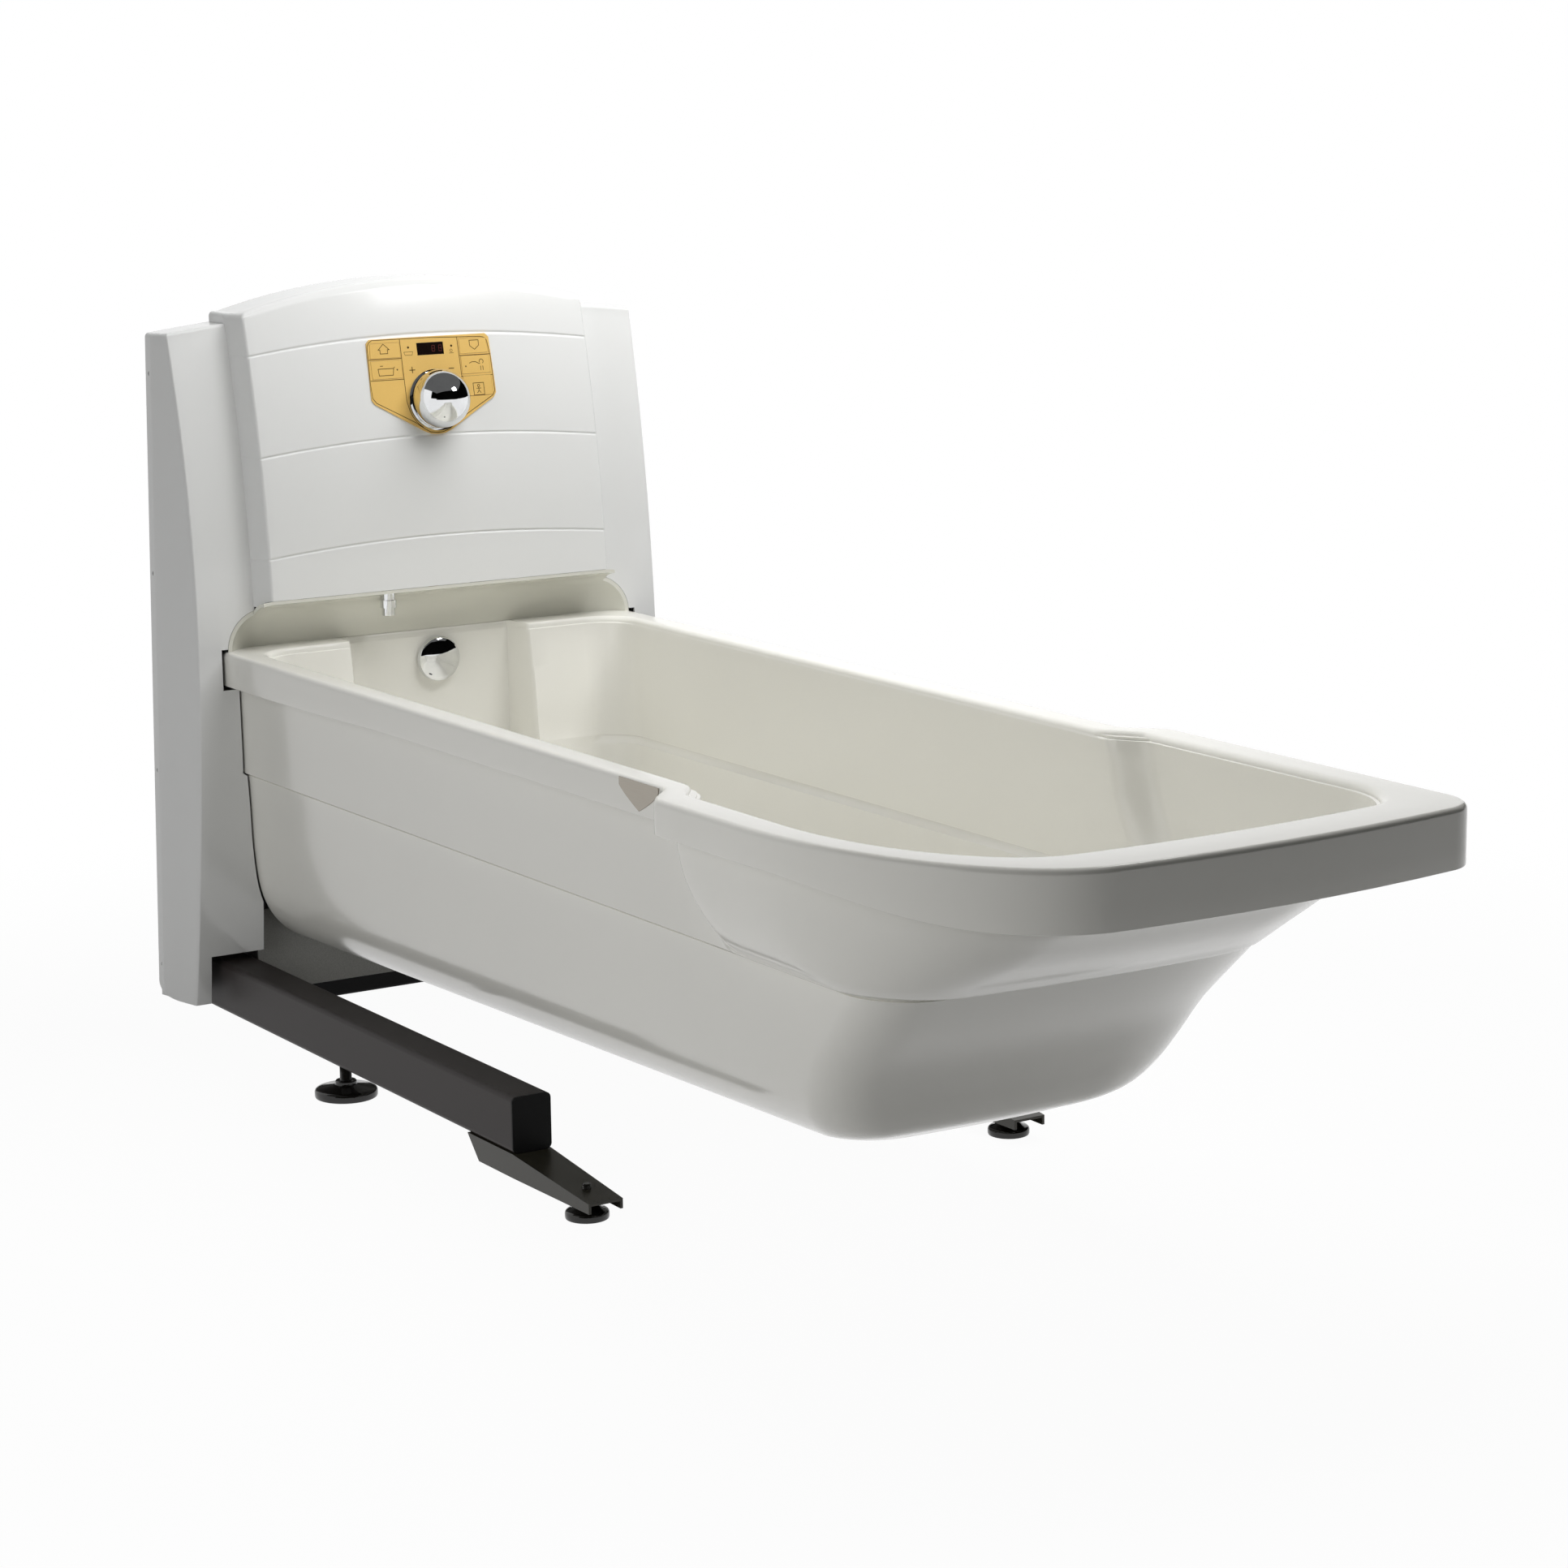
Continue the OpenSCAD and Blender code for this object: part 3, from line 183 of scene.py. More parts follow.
def grid_sheet(name, cols, rows, spot, closed=False):
    """A grid whose point (i, j) goes to spot(i, j), in millimetres from the column's back."""
    deselect_all()
    bpy.ops.mesh.primitive_grid_add(x_subdivisions=cols, y_subdivisions=rows, size=1)
    sheet = bpy.context.object
    sheet.name = sheet.data.name = name
    for v in sheet.data.vertices:
        i, j = round((v.co.x + 0.5) * cols), round((v.co.y + 0.5) * rows)
        x, y, z = spot(i % cols if closed else i, j)
        v.co = (BACK + x * MM, y * MM, z * MM)
    sheet.matrix_world = Matrix.Identity(4)
    edit(sheet, (bpy.ops.mesh.remove_doubles, {"threshold": 0.00002}))
    while sheet.data.uv_layers:
        sheet.data.uv_layers.remove(sheet.data.uv_layers[0])
    return sheet


def close_ends(piece):
    """Fills the open boundary loops and turns the faces outwards."""
    only(piece)
    bpy.ops.object.mode_set(mode="EDIT")
    bpy.ops.mesh.select_mode(type="EDGE")
    bpy.ops.mesh.select_all(action="DESELECT")
    bpy.ops.mesh.select_non_manifold(extend=False)
    bpy.ops.mesh.fill_holes(sides=0)
    bpy.ops.mesh.select_all(action="SELECT")
    bpy.ops.mesh.normals_make_consistent(inside=False)
    bpy.ops.object.mode_set(mode="OBJECT")


def soften(piece, angle):
    """Shades a piece smooth, apart from edges sharper than the angle in degrees."""
    only(piece)
    bpy.ops.object.shade_smooth_by_angle(angle=radians(angle))


def add_modifier(piece, kind, **values):
    only(piece)
    mod = piece.modifiers.new(kind.title(), kind)
    for k, v in values.items():
        setattr(mod, k, v)
    bpy.ops.object.modifier_apply(modifier=mod.name)


def cutter_box(low, high):
    """A box between two corners, in millimetres from the column's back."""
    deselect_all()
    bpy.ops.mesh.primitive_cube_add(size=1)
    tool = bpy.context.object
    for v in tool.data.vertices:
        v.co = [BACK * (k == 0) + (low[k] if v.co[k] < 0 else high[k]) * MM for k in range(3)]
    return tool


def cutter_rod(start, end, radius):
    """A round rod between two points, in millimetres from the column's back."""
    deselect_all()
    a, b = [Vector((BACK + p[0] * MM, p[1] * MM, p[2] * MM)) for p in (start, end)]
    bpy.ops.mesh.primitive_cylinder_add(vertices=64, radius=radius * MM, depth=(b - a).length)
    tool = bpy.context.object
    turn = (b - a).to_track_quat("Z", "Y").to_matrix().to_4x4()
    tool.data.transform(Matrix.Translation((a + b) / 2) @ turn)
    return tool


def cut(piece, tool):
    """Cuts a closed tool out of a piece and removes the tool."""
    add_modifier(piece, "BOOLEAN", object=tool, operation="DIFFERENCE", solver="EXACT")
    bpy.data.objects.remove(tool)


def dress(piece, material, body, *nodes, slot=None):
    """Gives a piece its finish, its body and the CAD nodes that it stands for."""
    piece.data.materials.clear()
    piece.data.materials.append(material)
    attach(piece, body)
    if nodes:
        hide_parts(*nodes)


def refine(node, material, bevel, segments=2, sharp=60, angle=35):
    """A smooth copy of a CAD node, with its planes cleaned up and its sharp outer edges rounded."""
    piece = frame["nodes"][node].copy()
    piece.data = piece.data.copy()
    piece.name = piece.data.name = node + "_finished"
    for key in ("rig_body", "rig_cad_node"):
        if key in piece:
            del piece[key]
    bpy.context.scene.collection.objects.link(piece)
    piece.parent = None
    piece.matrix_world = Matrix.Identity(4)
    edit(piece, (bpy.ops.mesh.remove_doubles, {"threshold": 0.00001}),
         (bpy.ops.mesh.dissolve_limited, {"angle_limit": radians(0.3)}))
    if bevel:
        limit = cos(radians(sharp))

        def is_sharp(f, g, mid):
            return f.normal.dot(g.normal) < limit and (g.center - f.center).dot(f.normal) < 0
        select_edges(piece, is_sharp)
        bpy.ops.mesh.bevel(offset=bevel * MM, segments=segments, profile=0.5, clamp_overlap=True)
        bpy.ops.object.mode_set(mode="OBJECT")
    soften(piece, angle)
    if bevel:
        add_modifier(piece, "WEIGHTED_NORMAL", keep_sharp=True, weight=80)
    dress(piece, material, BODY_OF[node], node)


def refine_all(rows, segments=2, sharp=60):
    """Refines the nodes of (node, look, bevel) rows."""
    looks = palette()
    for node, look, bevel in rows:
        refine(node, looks[look], bevel, segments, sharp)


# Finishes

FLOAT, COLOUR = "NodeSocketFloat", "NodeSocketColor"


def new_group(name, inputs, outputs):
    """A shader group with (label, socket type, default) inputs and (label, socket type) outputs."""
    group = bpy.data.node_groups.new(name, "ShaderNodeTree")
    for label, kind, value in inputs:
        group.interface.new_socket(label, in_out="INPUT", socket_type=kind).default_value = value
    for label, kind in outputs:
        group.interface.new_socket(label, in_out="OUTPUT", socket_type=kind)
    return group


def new_node(n, kind, **values):
    """A shader node. Each value goes to the property of that name, or else to that input."""
    made = n.new("ShaderNode" + kind)
    for key, value in values.items():
        if hasattr(made, key):
            setattr(made, key, value)
        else:
            made.inputs[key.replace("_", " ")].default_value = value
    return made


def shaded(n, link, src, depth, noise):
    """A group's colour, darkened by up to its depth where the noise is low."""
    low = new_node(n, "Math", operation="SUBTRACT")
    low.inputs[0].default_value = 1.0
    link(src.outputs[depth], low.inputs[1])
    shade = new_node(n, "MapRange", From_Min=0.3, From_Max=0.7)
    link(low.outputs[0], shade.inputs["To Min"])
    link(noise.outputs["Fac"], shade.inputs["Value"])
    tint = new_node(n, "VectorMath", operation="SCALE")
    link(src.outputs["Colour"], tint.inputs[0])
    link(shade.outputs["Result"], tint.inputs["Scale"])
    return tint.outputs[0]


def mottle_group():
    """Soft clouds in a moulding's colour, and the slight waviness of its skin."""
    if "moulded_skin" in bpy.data.node_groups:
        return bpy.data.node_groups["moulded_skin"]
    g = new_group("moulded_skin", [
        ("Colour", COLOUR, (0.8, 0.8, 0.8, 1)), ("Cloud size", FLOAT, 3.0), ("Cloud depth", FLOAT, 0.03),
        ("Ripple size", FLOAT, 60.0)], [("Colour", COLOUR), ("Ripple", FLOAT), ("Roughness", FLOAT)])
    n, link = g.nodes, g.links.new
    src, out, place = n.new("NodeGroupInput"), n.new("NodeGroupOutput"), new_node(n, "TexCoord")
    cloud, ripple = new_node(n, "TexNoise", Detail=3), new_node(n, "TexNoise", Detail=2)
    smear = new_node(n, "TexNoise", Detail=5, Scale=9)
    for tex in (cloud, ripple, smear):
        link(place.outputs["Object"], tex.inputs["Vector"])
    link(src.outputs["Cloud size"], cloud.inputs["Scale"])
    link(src.outputs["Ripple size"], ripple.inputs["Scale"])
    rough = new_node(n, "MapRange", To_Min=0.10, To_Max=0.22)
    link(smear.outputs["Fac"], rough.inputs["Value"])
    link(shaded(n, link, src, "Cloud depth", cloud), out.inputs["Colour"])
    link(ripple.outputs["Fac"], out.inputs["Ripple"])
    link(rough.outputs["Result"], out.inputs["Roughness"])
    return g


def grain_group():
    """Fine grain for powder coat, film and brushed metal."""
    if "fine_grain" in bpy.data.node_groups:
        return bpy.data.node_groups["fine_grain"]
    g = new_group("fine_grain", [
        ("Colour", COLOUR, (0.5, 0.5, 0.5, 1)), ("Stretch", "NodeSocketVector", (1, 1, 1)),
        ("Grain size", FLOAT, 900.0), ("Depth", FLOAT, 0.15),
        ("Rough low", FLOAT, 0.3), ("Rough high", FLOAT, 0.5)],
        [("Colour", COLOUR), ("Grain", FLOAT), ("Roughness", FLOAT)])
    n, link = g.nodes, g.links.new
    src, out, place = n.new("NodeGroupInput"), n.new("NodeGroupOutput"), new_node(n, "TexCoord")
    scaled = new_node(n, "VectorMath", operation="MULTIPLY")
    link(place.outputs["Object"], scaled.inputs[0])
    link(src.outputs["Stretch"], scaled.inputs[1])
    grain = new_node(n, "TexNoise", Detail=4)
    link(scaled.outputs[0], grain.inputs["Vector"])
    link(src.outputs["Grain size"], grain.inputs["Scale"])
    rough = new_node(n, "MapRange")
    link(src.outputs["Rough low"], rough.inputs["To Min"])
    link(src.outputs["Rough high"], rough.inputs["To Max"])
    link(grain.outputs["Fac"], rough.inputs["Value"])
    link(shaded(n, link, src, "Depth", grain), out.inputs["Colour"])
    link(grain.outputs["Fac"], out.inputs["Grain"])
    link(rough.outputs["Result"], out.inputs["Roughness"])
    return g


def finish(name, group, values, bump, distance, **shader):
    """A material whose colour, roughness and bump come from one of the effect groups."""
    if name in bpy.data.materials:
        return bpy.data.materials[name]
    mat = bpy.data.materials.new(name)
    mat.use_nodes = True
    n, link = mat.node_tree.nodes, mat.node_tree.links.new
    skin = n["Principled BSDF"]
    effect = n.new("ShaderNodeGroup")
    effect.node_tree = group
    for k, v in values.items():
        effect.inputs[k].default_value = (*v, 1) if k == "Colour" else v
    link(effect.outputs["Colour"], skin.inputs["Base Color"])
    link(effect.outputs["Roughness"], skin.inputs["Roughness"])
    relief = new_node(n, "Bump", Strength=bump, Distance=distance)
    link(effect.outputs[1], relief.inputs["Height"])
    link(relief.outputs["Normal"], skin.inputs["Normal"])
    for k, v in shader.items():
        skin.inputs[k.replace("_", " ")].default_value = v
    return mat


def gelcoat(name, colour):
    return finish(name, mottle_group(), {"Colour": colour, "Cloud depth": 0.02}, 0.02, 0.001,
                  Coat_Weight=0.15, Coat_Roughness=0.03)


def grained(name, colour, low, high, size, bump, depth, stretch=(1, 1, 1), **shader):
    """A finish with fine grain: roughness from low to high, grain per metre, strength of bump and shade."""
    return finish(name, grain_group(), {
        "Colour": colour, "Stretch": stretch, "Grain size": size, "Depth": depth,
        "Rough low": low, "Rough high": high}, bump, 0.0002, **shader)


def metal(name, colour, low, high, stretch=(1, 1, 1), size=700.0, bump=0.02):
    return grained(name, colour, low, high, size, bump, 0.08, stretch, Metallic=1.0)


def coat(name, colour, low, high, size=900.0, bump=0.15, depth=0.2, shine=0.5, **more):
    return grained(name, colour, low, high, size, bump, depth, Specular_IOR_Level=shine, **more)


def palette():
    """All finishes, by the part of the bath that wears them."""
    c = bpy.context.scene.bath_colours
    return {
        "cover": gelcoat("housing gelcoat", tuple(c.cover)),
        "tub": gelcoat("tub gelcoat", tuple(c.tub)),
        "cove": gelcoat("cove gelcoat", tuple(c.cove)),
        "legs": coat("leg powder coat", tuple(c.legs), 0.38, 0.55, shine=0.2),
        "frame": coat("frame powder coat", (0.02, 0.02, 0.022), 0.4, 0.6),
        "bracket": coat("bracket lacquer", (0.040, 0.037, 0.027), 0.25, 0.35, 500.0, 0.05, shine=0.35),
        # The lower cover's darker grey is painted shade: the tub's shadow under it is laid into the cover's colour.
        "plate": coat("lower cover painted shade", (0.50, 0.50, 0.48), 0.35, 0.5, 500.0, 0.05, shine=0.2),
        "black": coat("black plastic", (0.006, 0.006, 0.006), 0.4, 0.55, 700.0, shine=0.1),
        "grey": coat("grey plastic", (0.22, 0.23, 0.24), 0.4, 0.55, 500.0),
        "pale": coat("glide plastic", (0.62, 0.60, 0.54), 0.4, 0.55, 500.0),
        "box": coat("electrics case", (0.06, 0.065, 0.07), 0.4, 0.55, 500.0),
        "rubber": coat("pad rubber", (0.015, 0.015, 0.015), 0.6, 0.8, 500.0, 0.3),
        "film": coat("amber film", tuple(c.panel), 0.28, 0.42, 1500.0, 0.05, 0.08),
        "ink": coat("panel print", (0.07, 0.035, 0.012), 0.45, 0.6, 1500.0, 0.02, 0.1, shine=0.1),
        "board": coat("circuit board", (0.02, 0.12, 0.05), 0.3, 0.45, 600.0, 0.05),
        "display": coat("display glass", (0.010, 0.006, 0.005), 0.04, 0.08, 300.0, 0.0),
        "digit": coat("display digits", (0.10, 0.02, 0.015), 0.2, 0.3, 300.0, 0.0),
        "chrome": metal("chrome plate", (0.82, 0.83, 0.84), 0.015, 0.05, size=60.0, bump=0.004),
        "zinc": metal("bright zinc", (0.62, 0.62, 0.61), 0.22, 0.38),
        "foot": coat("foot lacquer", (0.012, 0.011, 0.009), 0.08, 0.16, 300.0, 0.02, 0.1),
        "screw": metal("black screw steel", (0.06, 0.06, 0.055), 0.3, 0.5),
        "steel": metal("brushed stainless", (0.36, 0.33, 0.285), 0.30, 0.45, (0.05, 1, 1), 900.0, 0.06),
        "aluminium": metal("satin aluminium", (0.66, 0.67, 0.68), 0.28, 0.42, (1, 1, 0.1)),
        "brass": metal("valve brass", (0.60, 0.42, 0.17), 0.25, 0.4),
        "copper": metal("copper pipe", (0.66, 0.32, 0.19), 0.22, 0.4),
    }


# Shape of the tub: level outlines, each a list of
# z, rear x, end x, narrow half, wide half, near corner length and width,
# far corner length and width, rear corner radius, niche depth, niche half width, shift of the step

NICHE_DEPTH, NICHE_HALF, NICHE_ROOM, NICHE_DROP = 46.0, 150.0, 30.0, 68.0
SIDE_LAND, END_LAND, REAR_LAND = 44.0, 88.0, 60.0
TUB_WALL, CASING_WALL, CREASE = 5.0, 4.0, (1.2, 1.5)
RIM_ROUND, EDGE_DROP, EDGE_WIDE = 8.0, 9.0, 10.0
RIM_CORNERS, EDGE_CORNERS = (415, 232, 58, 55), (300, 180)
CASING_LOW, CASING_RISE = 157.0, 0.025
STEP_X, STEP_LENGTH, END_BOW = 1460.0, 70.0, 38.0
DRAIN_Y, DRAIN_Z, DRAIN_R = 90.0, 228.0, 16.0
WASTE_HOLE_R, OVERFLOW_HOLE_R = 30.3, 19.8


def lip_edge(s, x):
    """Lower edge of the lip: short behind the tub and deep at the free end."""
    d = x - s["rim_rear"]
    return (s["rim_height"] - 14 - 32 * smooth((d - 2) / 10)
            - 7 * smooth(d / 12) * (1 - smooth((x - 300) / 400)) - 31 * smooth((x - STEP_X - 260) / 360))


def half_outline(s, lv, side):
    z, x_rear, x_end, n, w, ncx, ncy, fcx, fcy, rr, nd, nh, shift = lv
    cx, cy = (ncx, ncy) if side < 0 else (fcx, fcy)
    bow = END_BOW / s["wide_half"] ** 2
    nh = min(nh, n - rr - 30)
    bow_x = x_end - bow * w * w - cx
    x0, x1 = STEP_X + shift - STEP_LENGTH / 2, STEP_X + shift + STEP_LENGTH / 2
    pts = [(x_rear - nd, side * nh * t) for t in (0, 0.3, 0.6, 0.85)]
    pts += [(x_rear - nd * (1 - smooth(t)), side * (nh - 10 + 20 * t)) for t in steps(9)[1:]]
    pts += [(x_rear, side * (nh + 10 + (n - rr - nh - 10) * t)) for t in (0.33, 0.66)]
    pts += [(x_rear + rr * (1 - c), side * (n - rr + rr * q)) for c, q in quarter(9)]
    pts += [(x_rear + rr + (x0 - x_rear - rr) * t, side * n)
            for t in (0.05, 0.12, 0.25, 0.4, 0.55, 0.7, 0.85, 0.95)]
    pts += [(x0 + (x1 - x0) * t, side * (n + (w - n) * smooth(t))) for t in steps(14)]
    pts += [(x1 + (bow_x - x1) * t, side * w) for t in (0.25, 0.5, 0.75)]
    for c, q in quarter(26):
        y = w - cy + cy * c
        pts.append((x_end - bow * y * y - cx * (1 - q), side * y))
    for t in (0.2, 0.4, 0.6, 0.8):
        y = (w - cy) * (1 - t)
        pts.append((x_end - bow * y * y, side * y))
    return pts


def outline(s, lv):
    near, far = half_outline(s, lv, -1), half_outline(s, lv, 1)
    return near + [(lv[2], 0.0)] + far[:0:-1]


def spline_levels(levels, between):
    """More levels on a smooth curve through the given ones."""
    out = []
    for i in range(len(levels) - 1):
        p = [levels[max(0, min(len(levels) - 1, i + k))] for k in (-1, 0, 1, 2)]
        for k in range(between):
            t = k / between
            out.append([0.5 * (2 * b + (c - a) * t + (2 * a - 5 * b + 4 * c - d) * t * t
                               + (3 * b - a - 3 * c + d) * t ** 3) for a, b, c, d in zip(*p)])
    return out + [list(levels[-1])]


# Bowl below the crease: height as a share, lean in degrees, set-back at the rear and at the end,
# narrowing, corner radius
BOWL_BELOW = (
    (0, 0, 204, 430, 116, 60), (0.025, 20, 159, 392, 84, 72), (0.1, 45, 119, 350, 54, 84),
    (0.22, 60, 90, 305, 32, 94), (0.4, 70, 69, 266, 19, 102), (0.67, 80, 54, 210, 10, 108),
    (0.94, 90, 46, 177, 5, 112))
# Walls above the crease: height as a share, set-back at the end, narrowing of the narrow and of the wide
# part, near corner length and width, far corner length and width, shift of the step
BOWL_ABOVE = (
    (0.01, 168, 0, 34, 118, 116, 150, 165, 116), (0.07, 145, 0, 20, 145, 124, 155, 165, 108),
    (0.17, 120, 0, 10, 190, 140, 172, 180, 92), (0.35, 83, 0, 4, 240, 158, 160, 165, 66),
    (0.6, 40, 0, 1, 280, 172, 118, 100, 42), (0.87, 10, 0, 0, 300, 180, 110, 80, 26),
    (0.947, 3, -0.5, 0.5, 300, 180, 110, 80, 20))
BOWL_ABOVE_REAR = (24, 22, 20, 17, 11, 3, 1)
CASING_ABOVE = (
    (0.005, 183, 2, 50, 120, 112, 198, 190, 100), (0.07, 165, 2, 36, 150, 122, 211, 210, 92),
    (0.15, 140, 2, 25, 200, 140, 227, 234, 80), (0.28, 102, 1.5, 14, 265, 165, 245, 250, 62),
    (0.44, 64, 1, 6, 320, 188, 254, 234, 42), (0.62, 28, 0.5, 2, 365, 204, 240, 186, 27),
    (1, 0, 0, 0, 395, 215, 220, 178, 10))
# Casing below the crease: height in millimetres (none is just under the crease), set-back at the end,
# narrowing, near corner length and width, far corner length and width
CASING_BELOW = (
    (0, 452, 180, 40, 40, 150, 130), (3, 443, 136, 50, 50, 190, 170), (15, 412, 95, 57, 57, 189, 184),
    (31, 375, 67, 63, 61, 184, 192), (59, 355, 42, 68, 65, 174, 205), (99, 334, 25, 71, 68, 160, 224),
    (160, 298, 16, 73, 71, 139, 254), (228, 241, 12, 75, 72, 116, 286), (None, 202, 9, 76, 73, 101, 308))


def bowl_levels(s, t=0.0):
    """The tub's inner face, moved outward by t: from its floor to the crease, then on to the rim."""
    z0, zw = s["floor_height"], s["waist_height"]
    low, up = zw - z0, s["rim_height"] - zw
    rear, end = s["rim_rear"] + REAR_LAND, s["rim_end"] - END_LAND
    n, w = s["narrow_half"] - SIDE_LAND, s["wide_half"] - SIDE_LAND - 10
    below, above = [], []
    for h, lean, xr, xe, dn, r in BOWL_BELOW:
        c, q = t * cos(radians(lean)), t * sin(radians(lean))
        below.append([z0 + h * low - c, rear + xr - 20 - q, end - xe + q, n - dn + q, n - dn + q, r, r, r + 15,
                      2 * r, 60, (NICHE_DEPTH + xr - 20) * smooth((h - 0.45) / 0.5), NICHE_HALF + t, 0])
    for xr, (h, xe, dn, dw, *corners, shift) in zip(BOWL_ABOVE_REAR, BOWL_ABOVE):
        above.append([zw + h * up, rear + xr - t, end - xe + t, n - dn + t, w - dw + t,
                      *corners, 60, NICHE_DEPTH + xr, NICHE_HALF + t, shift])
    return below, above


def casing_levels(s, t=0.0):
    """The casing's outer face, moved inward by t: from its bottom to the crease, then on to the lip."""
    zw = s["waist_height"]
    low, up = zw - CASING_LOW, s["rim_height"] - TUB_WALL - 1 - zw
    rear, end = s["rim_rear"] + 15, s["rim_end"] - 33
    n, w = s["narrow_half"] - 24, s["wide_half"] - 18
    below, above = [], []
    for h, xe, dn, *corners in CASING_BELOW:
        h = low - 4 if h is None else h or t
        below.append([CASING_LOW + h, rear + t, end - xe - t, n - dn - t, n - dn - t,
                      *corners, 14, 0, NICHE_HALF, 0])
    for h, xe, dn, dw, *corners, shift in CASING_ABOVE:
        above.append([zw + h * up, rear + t, end - xe - t, n - dn - t, w - dw - t,
                      *corners, 14, 0, NICHE_HALF, shift])
    return below, above


def creased(parts, between, notch=0.0):
    """Smooth levels through both parts of a wall, with a fine line pressed in at the crease between them."""
    below, above = (spline_levels(part, between) for part in parts)
    if not notch:
        return below + above
    inside = [[lv[0] + dz, lv[1], *(v - notch for v in lv[2:5]), *lv[5:]]
              for lv, dz in ((below[-1], 0.6), (above[0], -0.6))]
    return below + inside + above


def rim_level(s, z, d):
    return [z, s["rim_rear"] + d, s["rim_end"] - d, s["narrow_half"] - d, s["wide_half"] - d,
            *(r - d / 2 for r in RIM_CORNERS), 15, 0, NICHE_HALF, 0]


def edge_level(s, z, d):
    return [z, s["rim_rear"] + REAR_LAND - d * 0.4, s["rim_end"] - END_LAND + d,
            s["narrow_half"] - SIDE_LAND + d, s["wide_half"] - SIDE_LAND - 10 + d,
            EDGE_CORNERS[0] + d, EDGE_CORNERS[1] + d / 2, 110, 80, 60, NICHE_DEPTH, NICHE_HALF, 0]


def level(s, lv):
    return [(x, y, lv[0]) for x, y in outline(s, lv)]


def lip_level(s, lv, up=0.0):
    return [(x, y, lip_edge(s, x) + up) for x, y in outline(s, lv)]


def sloped_level(s, lv):
    f = smooth((s["waist_height"] - lv[0]) / (s["waist_height"] - CASING_LOW))
    return [(x, y, lv[0] + CASING_RISE * (x - 500) * f) for x, y in outline(s, lv)]


def ring_piece(name, rings):
    """A closed skin through a stack of rings of points."""
    piece = grid_sheet(name, len(rings[0]), len(rings) - 1, lambda i, j: rings[j][i], closed=True)
    close_ends(piece)
    return piece


class BATH_OT_tub(bpy.types.Operator):
    """Moulds the tub with its rim, lip, bowl and foot niche"""
    bl_idname = "bath.tub"
    bl_label = "Tub moulding"

    def execute(self, context):
        s, looks = sizes(), palette()
        z1 = s["rim_height"]
        inner = creased(bowl_levels(s), 5, -CREASE[0])
        outer = creased(bowl_levels(s, TUB_WALL), 2)
        land = z1 - TUB_WALL - 1
        under = [land] + outer[-1][1:]
        lip_in = rim_level(s, land, TUB_WALL)
        rings = [level(s, lv) for lv in outer] + [level(s, under), level(s, lip_in), lip_level(s, lip_in)]
        rings += [lip_level(s, rim_level(s, 0, 1.2)), lip_level(s, rim_level(s, 0, 0.3), 0.5),
                  lip_level(s, rim_level(s, 0, 0), 1.6)]
        low = lip_level(s, rim_level(s, 0, 0), 1.6)
        top = level(s, rim_level(s, z1 - RIM_ROUND, 0))
        rings += [[(a[0], a[1], a[2] + (b[2] - a[2]) * t) for a, b in zip(low, top)] for t in (0.35, 0.7, 1)]
        rings += [level(s, rim_level(s, z1 - RIM_ROUND * (1 - q), RIM_ROUND * (1 - c)))
                  for c, q in quarter(8)[1:]]
        rings += [level(s, edge_level(s, z1 - EDGE_DROP * (1 - q), 1.5 + EDGE_WIDE * (1 - c)))
                  for c, q in quarter(7)[::-1]]
        rings += [level(s, lv) for lv in inner[::-1]]
        tub = ring_piece("tub_moulding", rings)
        edit(tub, (bpy.ops.mesh.normals_make_consistent, {"inside": False}))
        x = middle("waste_body")[0]
        cut(tub, cutter_rod((x, 0, s["floor_height"] - 20), (x, 0, s["floor_height"] + 20), WASTE_HOLE_R))
        y, z = middle("overflow_knob")[1:]
        cut(tub, cutter_rod((80, y, z), (130, y, z), OVERFLOW_HOLE_R))
        soften(tub, 40)
        dress(tub, looks["tub"], "lift", "tub_shell")
        return {"FINISHED"}


class BATH_OT_casing(bpy.types.Operator):
    """Moulds the tub's outer casing with its waist crease and its wide end"""
    bl_idname = "bath.casing"
    bl_label = "Tub casing"

    def execute(self, context):
        s, looks = sizes(), palette()
        outer = creased(casing_levels(s), 4, CREASE[1])
        inner = creased(casing_levels(s, CASING_WALL), 1)
        rings = [sloped_level(s, lv) for lv in outer]
        rings += [sloped_level(s, lv) for lv in inner[::-1]]
        casing = ring_piece("tub_casing_moulding", rings)
        niche = NICHE_HALF + NICHE_ROOM
        cut(casing, cutter_box((0, -niche, s["waist_height"] - NICHE_DROP), (200, niche, 900)))
        for node in ("support_arm_left", "support_arm_right"):
            low, high = box_mm(node)
            cut(casing, cutter_box((0, low[1] - ARM_ROOM, low[2] - ARM_ROOM),
                                   (300, high[1] + ARM_ROOM, high[2] + ARM_ROOM)))
        cut(casing, cutter_rod((0, DRAIN_Y, DRAIN_Z), (300, DRAIN_Y, DRAIN_Z), DRAIN_R))
        soften(casing, 40)
        dress(casing, looks["tub"], "lift", "tub_casing")
        return {"FINISHED"}


# Shape of the column housing

BELLY_Z, FRONT_R, FRONT_LOW_R, BELLY_X = 560.0, 2216.0, 4670.0, 126.0
PANEL_DEPTH, PANEL_HALF, PANEL_FACE = 40.0, 309.0, 295.0
SIDE_TOP, HOUSING_LOW, PANEL_TOP, PANEL_CORNER = 1109.0, 72.0, 1178.0, 1137.0
HALF_TOP, HALF_LOW, ARCH_RISE = 416.0, 440.0, 12.0
TAPER, BAND = 0.18, 20.0
COVER_WALL = 4.0
FRONT_CORNER = 3.0
LOW_CORNER = (62.0, 24.0)
PANEL_LOW, GROOVES = 692.0, (766.0, 919.0, 1072.0)
